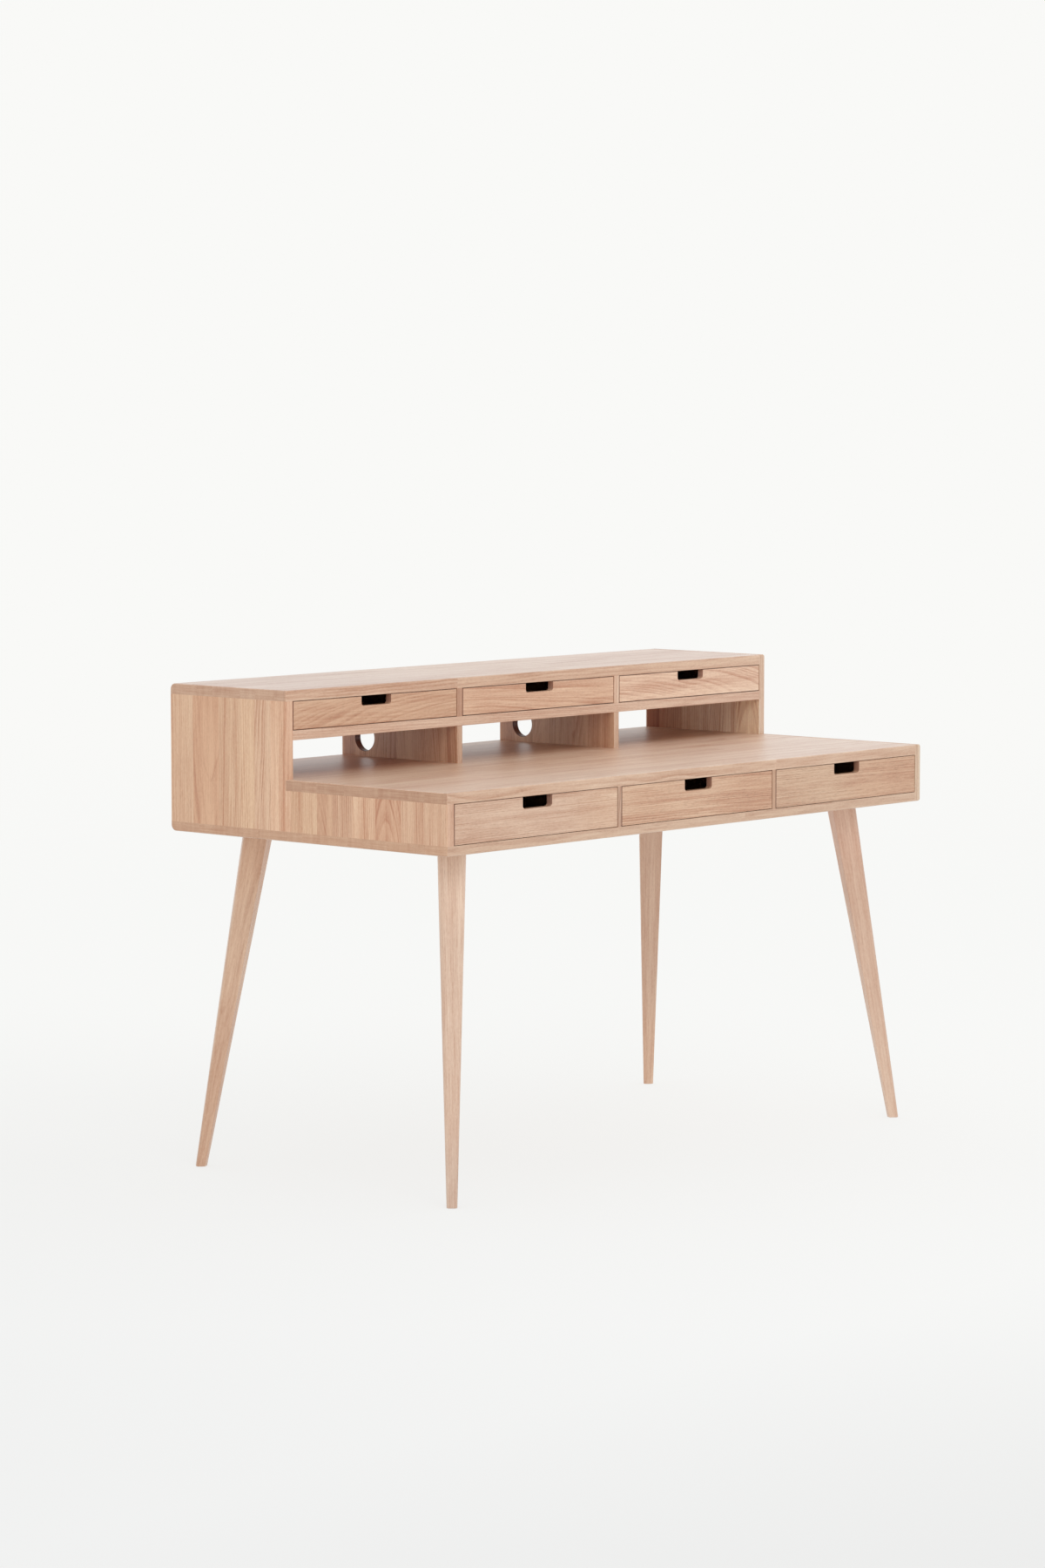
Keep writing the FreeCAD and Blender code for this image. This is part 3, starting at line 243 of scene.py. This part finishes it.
    rough = w.plus(w.madd(pores, 0.30, w.madd(fibre, 0.16, w.times(given["End"], 0.12))), 0.37)
    height = w.minus(w.madd(fibre, 0.30, w.times(early, -0.22)), pores)
    w.put(result["Colour"], colour)
    w.put(result["Roughness"], rough)
    w.put(result["Height"], height)
    return tree


OAK = oak_group()
AXES = {"X": Vector((1, 0, 0)), "Y": Vector((0, 1, 0)), "Z": Vector((0, 0, 1))}
count = 0


def dress(node, material):
    slots = nodes_of[node].material_slots
    if not slots:
        nodes_of[node].data.materials.append(material)
    for slot in slots:
        slot.material = material


def oak(node, along, across, stave=None, length=None, joint=0.0, layout=None, origin=None, bump=0.25,
        edge=None, bore=None, patches=(), matt=None, **numbers):
    """Oak for one CAD node. along and across are the grain's and the width's directions.
    stave and length cut the node into glued-up staves, the first with a butt joint at joint;
    layout gives the staves' own edges, tones and hearts. edge tints the faces that look across,
    bore the wall of a hole, given by its axis, its radius and a tint, and each of the patches
    a zone, given by spans along directions and a tint. matt is a zone without the sheen."""
    global count
    count += 1
    seed = round(count * 0.6180339 % 1.0 * 40.0, 3)
    low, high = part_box(node)
    centre = origin or (low + high) / 2
    along = AXES[along] if isinstance(along, str) else along
    across = AXES[across] if isinstance(across, str) else across
    through = along.cross(across)

    material = bpy.data.materials.new("oak_" + node)
    material.use_nodes = True
    tree = material.node_tree
    tree.nodes.clear()
    w = Wire(tree)
    place = w.vector("SUBTRACT", w.add("ShaderNodeTexCoord").outputs["Object"], tuple(centre))
    l = w.vector("DOT_PRODUCT", place, tuple(along))
    a = w.vector("DOT_PRODUCT", place, tuple(across))
    t = w.vector("DOT_PRODUCT", place, tuple(through))
    normal = w.add("ShaderNodeNewGeometry").outputs["Normal"]
    facing = w.vector("DOT_PRODUCT", normal, tuple(along))
    end = w.span(w.math("ABSOLUTE", facing), 0.6, 0.95)

    group = w.add("ShaderNodeGroup")
    group.node_tree = OAK
    if layout:
        width = high @ across - low @ across
        start = low @ across - centre @ across
        unit = w.math("DIVIDE", w.minus(a, start), width, clamp=True)
        edges = [(edge - low @ across) / width for edge in layout["edges"]]
        n = len(layout["tones"])
        number = w.times(w.steps(unit, edges, [i / n for i in range(n)]), float(n))
        cell = w.join(w.math("ROUND", number), 0.0, seed)
        tone = w.plus(w.times(w.minus(w.steps(unit, edges, layout["tones"]), 0.5), layout["depth"]), numbers.pop("tone", 1.0))
        red = w.plus(w.times(w.minus(w.steps(unit, edges, layout["reds"]), 0.5), 2.0), numbers.pop("red", 0.0))
        w.put(group.inputs["Tone"], tone)
        w.put(group.inputs["Red"], red)
        bounds = [low @ across] + layout["edges"] + [high @ across]
        hearts = [(one + two) / 2 + offset - centre @ across for one, two, offset in zip(bounds, bounds[1:], layout["hearts"])]
        w.put(group.inputs["Heart Across"], w.madd(w.steps(unit, edges, [heart + 0.5 for heart in hearts]), 1.0, -0.5))
        w.put(group.inputs["Slope"], w.madd(w.steps(unit, edges, [slope + 0.5 for slope in layout["slopes"]]), 1.0, -0.5))
    elif stave:
        lane = w.plus(w.math("DIVIDE", a, stave), seed)
        lane = w.math("FLOOR", w.madd(w.math("SINE", w.times(lane, 2.3)), 0.2, lane))
        if length:
            first = (low @ across - centre @ across + 0.001) / stave + seed
            first = math.floor(first + 0.2 * math.sin(2.3 * first))
            shift = w.times(w.minus(lane, float(first)), 0.381966)
            piece = w.math("FLOOR", w.plus(shift, w.math("DIVIDE", w.minus(l, joint), length)))
        else:
            piece = 0.0
        cell = w.join(lane, piece, seed)
    else:
        cell = (1.0, 2.0, seed)
    w.put(group.inputs["Board"], w.join(l, a, t))
    w.put(group.inputs["Cell"], cell)
    w.put(group.inputs["End"], end)
    for name, value in numbers.items():
        group.inputs[name.replace("_", " ").title()].default_value = value

    relief = w.add("ShaderNodeBump")
    relief.inputs["Strength"].default_value = bump
    relief.inputs["Distance"].default_value = 0.0006
    w.put(relief.inputs["Height"], group.outputs["Height"])
    colour = group.outputs["Colour"]
    if edge:
        sideways = w.math("ABSOLUTE", w.vector("DOT_PRODUCT", normal, tuple(across)))
        colour = w.mix(w.span(sideways, 0.6, 0.95), colour, w.mix(1.0, colour, edge, "MULTIPLY"))
    if bore:
        (axis_l, axis_a), radius, tint = bore
        off = w.join(w.minus(l, axis_l - centre @ along), w.minus(a, axis_a - centre @ across), 0.0)
        wall = w.span(w.vector("LENGTH", off), radius + 0.0008, radius + 0.0016, 1.0, 0.0)
        colour = w.mix(wall, colour, w.mix(1.0, colour, tint, "MULTIPLY"))
    def zone(spans):
        inside = 1.0
        for direction, start, stop in spans:
            inside = w.times(w.span(w.vector("DOT_PRODUCT", place, tuple(AXES[direction])),
                                    start - centre @ AXES[direction], stop - centre @ AXES[direction]), inside)
        return inside

    for spans, tint in patches:
        colour = w.mix(zone(spans), colour, w.mix(1.0, colour, tint, "MULTIPLY"))
    shader = w.add("ShaderNodeBsdfPrincipled")
    w.put(shader.inputs["Base Color"], colour)
    w.put(shader.inputs["Roughness"], group.outputs["Roughness"])
    w.put(shader.inputs["Normal"], relief.outputs[0])
    shader.inputs["IOR"].default_value = 1.5
    shader.inputs["Coat Weight"].default_value = 0.7
    if matt:
        dull = zone(matt)
        w.put(shader.inputs["Coat Weight"], w.span(dull, 0.0, 1.0, 0.7, 0.0, smooth=False))
        w.put(shader.inputs["Specular IOR Level"], w.span(dull, 0.0, 1.0, 0.5, 0.15, smooth=False))
    shader.inputs["Coat Roughness"].default_value = 0.42
    w.put(w.add("ShaderNodeOutputMaterial").inputs["Surface"], shader.outputs[0])
    dress(node, material)
    return material


# boards that run the length of the desk
boards = {
    "desktop": dict(length=1.25, joint=0.245, tone=1.02, end_tint=(0.76, 0.66, 0.59, 1.0), light=srgb(221, 190, 164), dark=srgb(185, 137, 107),
                    # painted shade and light on the desktop: darker in the cubbies under the gallery shelf, where shade
                    # falls, and lighter, bluer zones on the top face towards the front and the right as a painted sheen
                    # and reflection, with a little darker zone at the left front
                    patches=[([("Y", 0.05, 0.17)], (0.80, 0.70, 0.67, 1.0)),
                             ([("Y", 0.03, 0.16), ("X", -0.21, -0.24)], (0.92, 0.73, 0.68, 1.0)),
                             ([("Y", 0.10, 0.00), ("Z", 0.7485, 0.7498)], (1.05, 1.10, 1.16, 1.0)),
                             ([("X", -0.05, 0.40), ("Y", 0.13, 0.06), ("Z", 0.7485, 0.7498)], (1.05, 1.09, 1.17, 1.0)),
                             ([("X", -0.15, 0.30), ("Y", -0.14, 0.01), ("Y", 0.13, 0.06), ("Z", 0.7485, 0.7498)], (1.15, 1.16, 1.15, 1.0)),
                             ([("X", 0.05, -0.30), ("Y", -0.02, -0.12), ("Z", 0.7485, 0.7498)], (0.93, 0.92, 0.915, 1.0))]),
    "gallery_top": dict(length=1.25, joint=-0.227, tone=1.06, end_tint=(0.82, 0.76, 0.72, 1.0), light=srgb(220, 190, 165), dark=srgb(184, 137, 109),
                        # painted sheen and light on the gallery top: a lighter, bluer top face as a painted reflection,
                        # darker towards the left end and lighter towards the right
                        patches=[([("Z", 0.9115, 0.9128)], (0.965, 1.02, 1.13, 1.0)),
                                 ([("X", -0.05, -0.50), ("Z", 0.9115, 0.9128)], (0.93, 0.92, 0.94, 1.0)),
                                 ([("X", 0.00, 0.55), ("Z", 0.9115, 0.9128)], (1.05, 1.06, 1.10, 1.0))]),
    "gallery_shelf": dict(tone=1.14, end_tint=(0.85, 0.80, 0.78, 1.0), light=srgb(221, 194, 172), dark=srgb(185, 140, 114)),
    "bottom_panel": dict(length=1.25, joint=0.15, tone=0.90, end_tint=(0.98, 0.90, 0.82, 1.0), light=srgb(221, 188, 161), dark=srgb(185, 135, 105)),
}
for board, own in boards.items():
    oak(board, "X", "Y", stave=0.052, heart_spread=0.16, heart_through=0.10, lean_spread=0.05,
        warp=0.010, ring_depth=0.55, fibre_depth=1.2, tone_spread=0.035, red_spread=0.12, **own)

# side panels and dividers, their grain upright
left_staves = dict(
    edges=[-0.295, -0.239, -0.176, -0.118, -0.069, -0.031, 0.035, 0.085, 0.126, 0.163, 0.219, 0.288],
    tones=[0.52, 0.52, 0.57, 0.83, 0.44, 0.24, 0.68, 0.95, 0.58, 0.75, 0.63, 0.35, 0.63],
    reds=[0.58, 0.62, 0.72, 0.45, 0.62, 0.84, 0.38, 0.48, 0.55, 0.38, 0.40, 0.90, 0.43],
    hearts=[0.14, -0.11, 0.006, 0.09, -0.13, 0.03, 0.10, -0.15, 0.05, 0.12, -0.10, -0.012, 0.13],
    slopes=[0.03, -0.02, 0.10, 0.04, -0.02, 0.06, -0.03, 0.02, -0.06, 0.02, 0.03, -0.05, 0.02],
    depth=0.30,
)
oak("left_side_panel", "Z", "Y", layout=left_staves, heart_through=0.06, warp=0.012, ring_depth=0.75, ring_gap=0.0040,
    edge=(0.97, 0.95, 0.99, 1.0))
INSIDE = [("X", 0.6880, 0.6835), ("Z", 0.748, 0.751), ("Z", 0.823, 0.820)]
right_staves = dict(
    edges=[-0.285, -0.215, -0.150, -0.085, -0.030, 0.030, 0.108, 0.180, 0.250, 0.312],
    tones=[0.50, 0.55, 0.45, 0.60, 0.40, 0.55, 0.58, 0.50, 0.40, 0.25, 0.05],
    reds=[0.40, 0.45, 0.55, 0.40, 0.60, 0.45, 0.40, 0.50, 0.60, 0.75, 0.95],
    hearts=[0.12, -0.10, 0.02, 0.11, -0.03, -0.12, 0.01, 0.09, -0.10, 0.04, 0.10],
    slopes=[0.03, -0.03, 0.08, 0.02, -0.05, 0.03, 0.07, -0.03, 0.02, -0.04, 0.02],
    depth=0.70,
)
oak("right_side_panel", "Z", "Y", layout=right_staves, heart_through=0.06, warp=0.012, ring_depth=0.75, ring_gap=0.0040, tone=1.10,
    # painted light and shade on the right side panel: the bluer tint on its front and back edges is a painted sheen; on
    # its inner face in the right cubby the patches make it much darker towards the rear, as painted shade, and lighter
    # and bluer towards the front, as a painted sheen; the last patch makes it slightly darker near the front edge
    edge=(0.93, 1.05, 1.22, 1.0),
    patches=[(INSIDE + [("Y", 0.20, 0.34), ("Y", 0.350, 0.346)], (0.43, 0.23, 0.175, 1.0)),
             (INSIDE + [("Y", 0.27, 0.12)], (1.16, 1.38, 1.52, 1.0)),
             ([("Y", -0.340, -0.347)], (0.95, 0.93, 0.90, 1.0))],
    matt=INSIDE + [("Y", 0.10, 0.30), ("Y", 0.350, 0.346)])
# painted light and shade on the cubby dividers: the lighter, bluer edge tint on their front and back edges is a painted
# sheen, the bore tint darkens the walls of the cable holes as painted shade, and the patch makes their rear ends darker
# as painted shade
for part in ("cubby_divider_left", "cubby_divider_right"):
    oak(part, "Z", "Y", stave=0.060, heart_spread=0.12, heart_through=0.08, lean_spread=0.15, warp=0.010,
        ring_depth=0.7, tone=0.96, tone_spread=0.08, red=0.5, red_spread=0.3, edge=(1.01, 1.17, 1.36, 1.0),
        bore=((0.7855, 0.290), 0.025, (0.26, 0.09, 0.08, 1.0)),
        patches=[([("Y", 0.305, 0.325), ("Y", 0.350, 0.346)], (0.70, 0.54, 0.46, 1.0))])
# edge tints their front and back edges: on the upper right divider lighter and bluer, a painted sheen; on the others
# darker
for part, tone, edge in (("upper_divider_left", 1.12, (0.76, 0.70, 0.72, 1.0)), ("upper_divider_right", 1.12, (1.03, 1.16, 1.33, 1.0)),
                         ("lower_divider_left", 0.92, (0.91, 0.93, 0.99, 1.0)), ("lower_divider_right", 0.92, (0.79, 0.69, 0.66, 1.0))):
    oak(part, "Z", "Y", stave=0.060, heart_spread=0.12, heart_through=0.08, lean_spread=0.15, warp=0.010,
        tone=tone, tone_spread=0.06, red_spread=0.2, edge=edge)
for part in ("upper_back_panel", "lower_back_panel"):
    oak(part, "X", "Z", stave=0.070, length=0.9, heart_spread=0.16, heart_through=0.10, lean_spread=0.05, tone_spread=0.08, red_spread=0.4)

# drawer fronts, each from one wide board
pale = dict(light=srgb(220, 188, 160), dark=srgb(184, 135, 106))
fronts = {
    "upper_left": dict(heart_across=-0.040, heart_through=0.058, slope=-0.13, warp=0.018, ring_depth=0.60, ring_gap=0.0046, fibre_depth=1.2, tone=1.01),
    "upper_middle": dict(heart_across=-0.055, heart_through=0.050, slope=0.05, warp=0.016, ring_depth=0.65, ring_gap=0.0048, fibre_depth=1.2, tone=1.16, **pale),
    "upper_right": dict(heart_across=-0.042, heart_through=0.050, slope=0.15, warp=0.012, ring_depth=0.65, ring_gap=0.0050, fibre_depth=1.2, tone=1.25,
                        light=srgb(220, 193, 169), dark=srgb(184, 140, 114)),
    "lower_left": dict(heart_across=0.200, heart_through=0.080, slope=0.02, warp=0.010, fibre_depth=1.1, pore_depth=0.65, light=srgb(217, 184, 159), dark=srgb(181, 132, 103)),
    "lower_middle": dict(heart_across=-0.100, heart_through=0.060, slope=0.03, warp=0.012, fibre_depth=1.2, pore_depth=0.80, ring_depth=0.75, tone=0.99),
    "lower_right": dict(heart_across=0.160, heart_through=0.060, slope=-0.03, warp=0.012, fibre_depth=1.3, pore_depth=0.80, ring_depth=0.85, tone=0.90),
}
# soft lighter and darker zones along the lower fronts: partly the wood's own tone, partly painted light and shade
front_tone_and_light = {
    "lower_left": [([("X", -0.413, -0.256)], (1.10, 1.13, 1.11, 1.0))],
    "lower_middle": [([("X", 0.00, 0.20)], (0.93, 0.87, 0.83, 1.0)), ([("X", -0.157, -0.211)], (1.04, 1.08, 1.10, 1.0))],
    "lower_right": [([("X", 0.37, 0.57)], (1.00, 0.93, 0.885, 1.0))],
}
for tag, cut in fronts.items():
    # painted shade: a narrow dark rim at the left end and the top of a front, and at the bottom of an upper one, stands
    # in for the shade inside the gaps and deepens the gap lines
    low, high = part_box("drawer_front_" + tag)
    rim = ("Y", low.y + 0.0030, low.y + 0.0022)
    top = (0.50, 0.40, 0.38, 1.0) if tag.startswith("upper") else (0.75, 0.68, 0.66, 1.0)
    gap_shade = [([("X", low.x + 0.0012, low.x + 0.0007), rim], (0.50, 0.40, 0.38, 1.0)),
            ([("Z", high.z - 0.0012, high.z - 0.0007), rim], top)]
    if tag.startswith("upper"):
        base = (0.58, 0.48, 0.45, 1.0) if tag == "upper_left" else (0.32, 0.24, 0.22, 1.0)
        gap_shade.append(([("Z", low.z + 0.0012, low.z + 0.0007), rim], base))
    # the end tint makes the fronts' end grain darker and greyer: partly the end grain's own tone, partly painted shade
    # on the notch walls and in the gaps
    oak("drawer_front_" + tag, "X", "Z", end_tint=(0.73, 0.65, 0.70, 1.0), patches=gap_shade + front_tone_and_light.get(tag, []), **cut)
    for hand in ("left", "right"):
        oak("drawer_side_%s_%s" % (hand, tag), "Y", "Z", heart_across=0.15, heart_through=0.08, warp=0.008, ring_depth=0.2)
    oak("drawer_back_" + tag, "X", "Z", heart_across=0.14, heart_through=0.08, warp=0.008, ring_depth=0.2)
    oak("drawer_bottom_" + tag, "X", "Y", stave=0.12, heart_spread=0.2, heart_through=0.10, lean_spread=0.04, warp=0.010,
        ring_depth=0.2, tone_spread=0.05)

# legs, the grain along each one's own lean
leg_tones = {
    ("front", "left"): (srgb(223, 195, 173), srgb(188, 143, 117)),
    ("front", "right"): (srgb(220, 189, 166), srgb(184, 135, 108)),
    ("rear", "left"): (srgb(216, 182, 154), srgb(178, 129, 100)),
    ("rear", "right"): (srgb(222, 193, 169), srgb(186, 139, 112)),
}
# painted light and shade on the legs: lighter near the top, where the case shades them, and near the foot darker on the
# front left leg and lighter on the rear right one
leg_painted_light = {
    ("front", "left"): [([("Z", 0.46, 0.58)], (1.14, 1.16, 1.17, 1.0)), ([("Z", 0.18, 0.05)], (0.91, 0.92, 0.94, 1.0))],
    ("front", "right"): [([("Z", 0.46, 0.58)], (1.11, 1.10, 1.12, 1.0))],
    ("rear", "left"): [([("Z", 0.46, 0.58)], (1.11, 1.09, 1.06, 1.0))],
    ("rear", "right"): [([("Z", 0.25, 0.06)], (1.09, 1.08, 1.06, 1.0))],
}
for hand, sx in (("left", -1), ("right", 1)):
    for end, sy in (("front", -1), ("rear", 1)):
        foot = Vector((sx * 0.656, sy * 0.320, 0.0))
        top = Vector((sx * 0.573, sy * 0.245, 0.637))
        axis = (top - foot).normalized()
        across = Vector((0, 0, 1)).cross(axis).normalized()
        light, dark = leg_tones[end, hand]
        oak("leg_%s_%s" % (end, hand), axis, across, origin=(foot + top) / 2, heart_across=0.10, heart_through=0.05,
            slope=0.02, warp=0.006, ring_depth=0.35, pore_depth=0.35, light=light, dark=dark, patches=leg_painted_light[end, hand])

for part in ("lower_drawer_runners", "upper_drawer_runners"):
    oak(part, "Y", "Z", heart_across=0.15, heart_through=0.08, warp=0.006)


# ---------------------------------------------------------------- beech and metals


def small_wood(node, along, across, light, dark):
    oak(node, along, across, heart_across=0.06, heart_through=0.05, warp=0.004, ring_gap=0.0022, ring_depth=0.25,
        pore_depth=0.12, light=light, dark=dark)


small_wood("case_dowels", "X", "Y", srgb(222, 190, 158), srgb(200, 160, 126))
small_wood("divider_dowels", "Z", "Y", srgb(222, 190, 158), srgb(200, 160, 126))


def metal(node, light, dark, rough):
    """Turned metal: fine rings from the tool, spots where the plating is duller."""
    material = bpy.data.materials.new("metal_" + node)
    material.use_nodes = True
    material.node_tree.nodes.clear()
    w = Wire(material.node_tree)
    place = w.add("ShaderNodeTexCoord").outputs["Object"]
    x, y, z = w.split(place)
    turned = w.noise(w.join(w.times(x, 60.0), w.times(y, 60.0), w.times(z, 5200.0)), 1.0, 2.0)
    dull = w.noise(place, 420.0, 3.0, 0.6)
    colour = w.mix(w.span(w.madd(turned, 0.5, w.times(dull, 0.5)), 0.35, 0.68), dark, light)
    relief = w.add("ShaderNodeBump")
    relief.inputs["Strength"].default_value = 0.2
    relief.inputs["Distance"].default_value = 0.0002
    w.put(relief.inputs["Height"], turned)
    shader = w.add("ShaderNodeBsdfPrincipled")
    w.put(shader.inputs["Base Color"], colour)
    w.put(shader.inputs["Roughness"], w.span(dull, 0.3, 0.7, rough - 0.08, rough + 0.10))
    w.put(shader.inputs["Normal"], relief.outputs[0])
    shader.inputs["Metallic"].default_value = 1.0
    w.put(w.add("ShaderNodeOutputMaterial").inputs["Surface"], shader.outputs[0])
    dress(node, material)


metal("leg_bolts", srgb(208, 208, 206), srgb(150, 150, 148), 0.32)
metal("leg_inserts", srgb(214, 184, 118), srgb(168, 134, 78), 0.34)


# ---------------------------------------------------------------- floor, light, camera

BACKDROP = srgb(249, 249, 247)


def floor():
    rings, sides, radius = 12, 64, 14.0
    points, faces = [(0.0, 0.0, 0.0)], []
    for r in range(1, rings + 1):
        for s in range(sides):
            angle = 2 * math.pi * s / sides
            reach = radius * (r / rings) ** 1.5
            points.append((reach * math.cos(angle), reach * math.sin(angle), 0.0))
    for s in range(sides):
        faces.append((0, 1 + s, 1 + (s + 1) % sides))
    for r in range(rings - 1):
        for s in range(sides):
            here, there = 1 + r * sides, 1 + (r + 1) * sides
            faces.append((here + s, there + s, there + (s + 1) % sides, here + (s + 1) % sides))
    mesh = bpy.data.meshes.new("floor")
    mesh.from_pydata(points, [], faces)
    ground = bpy.data.objects.new("floor", mesh)
    ground.location = (0.0, 0.0, -0.0004)
    scene.collection.objects.link(ground)

    material = bpy.data.materials.new("floor_paper")
    material.use_nodes = True
    material.node_tree.nodes.clear()
    w = Wire(material.node_tree)
    x, y, z = w.split(w.add("ShaderNodeTexCoord").outputs["Object"])
    reach = w.math("SQRT", w.plus(w.times(x, x), w.times(y, y)))
    behind = w.madd(x, 1.146, w.times(y, 0.217))
    # the floor glows: its emission is painted light, brighter and darker in broad soft zones, so the floor stays pale
    # with only a faint shade under the desk
    glow = w.add("ShaderNodeEmission")
    w.put(glow.inputs["Color"], w.mix(w.span(behind, -3.6, 1.6), srgb(212, 212.4, 212.3), srgb(227, 227.4, 226.2)))
    before = w.madd(x, -0.749, w.times(y, -0.663))
    beside = w.madd(x, 0.663, w.times(y, -0.749))
    lit = w.madd(w.span(before, 0.2, 1.7, smooth=False), 0.055, 1.0)
    w.put(glow.inputs["Strength"], w.madd(w.span(w.madd(beside, 1.2, before), 2.2, 4.2, smooth=False), -0.094, lit))
    paper = w.add("ShaderNodeBsdfDiffuse")
    paper.inputs["Color"].default_value = (0.17, 0.17, 0.168, 1.0)
    both = w.add("ShaderNodeAddShader")
    w.put(both.inputs[0], glow.outputs[0])
    w.put(both.inputs[1], paper.outputs[0])
    clear = w.add("ShaderNodeBsdfTransparent")
    fade = w.add("ShaderNodeMixShader")
    w.put(fade.inputs[0], w.span(reach, 2.5, 11.0))
    w.put(fade.inputs[1], both.outputs[0])
    w.put(fade.inputs[2], clear.outputs[0])
    w.put(w.add("ShaderNodeOutputMaterial").inputs["Surface"], fade.outputs[0])
    mesh.materials.append(material)


floor()

world = bpy.data.worlds.new("studio")
scene.world = world
world.use_nodes = True
world.node_tree.nodes.clear()
w = Wire(world.node_tree)
sky = w.add("ShaderNodeBackground")
sky.inputs["Color"].default_value = BACKDROP
sky.inputs["Strength"].default_value = 1.0
w.put(w.add("ShaderNodeOutputWorld").inputs["Surface"], sky.outputs[0])


def softbox(name, place, target, size, watts):
    light = bpy.data.lights.new(name, "AREA")
    light.shape = "RECTANGLE"
    light.size, light.size_y = size
    light.energy = watts
    lamp = bpy.data.objects.new(name, light)
    lamp.location = place
    lamp.rotation_euler = (Vector(target) - Vector(place)).to_track_quat("-Z", "Y").to_euler()
    lamp.visible_camera = False
    scene.collection.objects.link(lamp)


softbox("key", (-3.0, -4.6, 4.6), (0.0, 0.0, 0.6), (3.5, 3.5), 70.0)

lens = bpy.data.cameras.new("camera")
lens.sensor_width = 36.0
lens.lens = 102.789
lens.clip_end = 200.0
camera = bpy.data.objects.new("camera", lens)
camera.location = (-6.4964, -5.6633, 1.4923)
camera.rotation_euler = (math.radians(84.7283), 0.0, math.radians(-48.4597))
scene.collection.objects.link(camera)
scene.camera = camera

scene.view_settings.view_transform = "Standard"
scene.view_settings.look = "None"
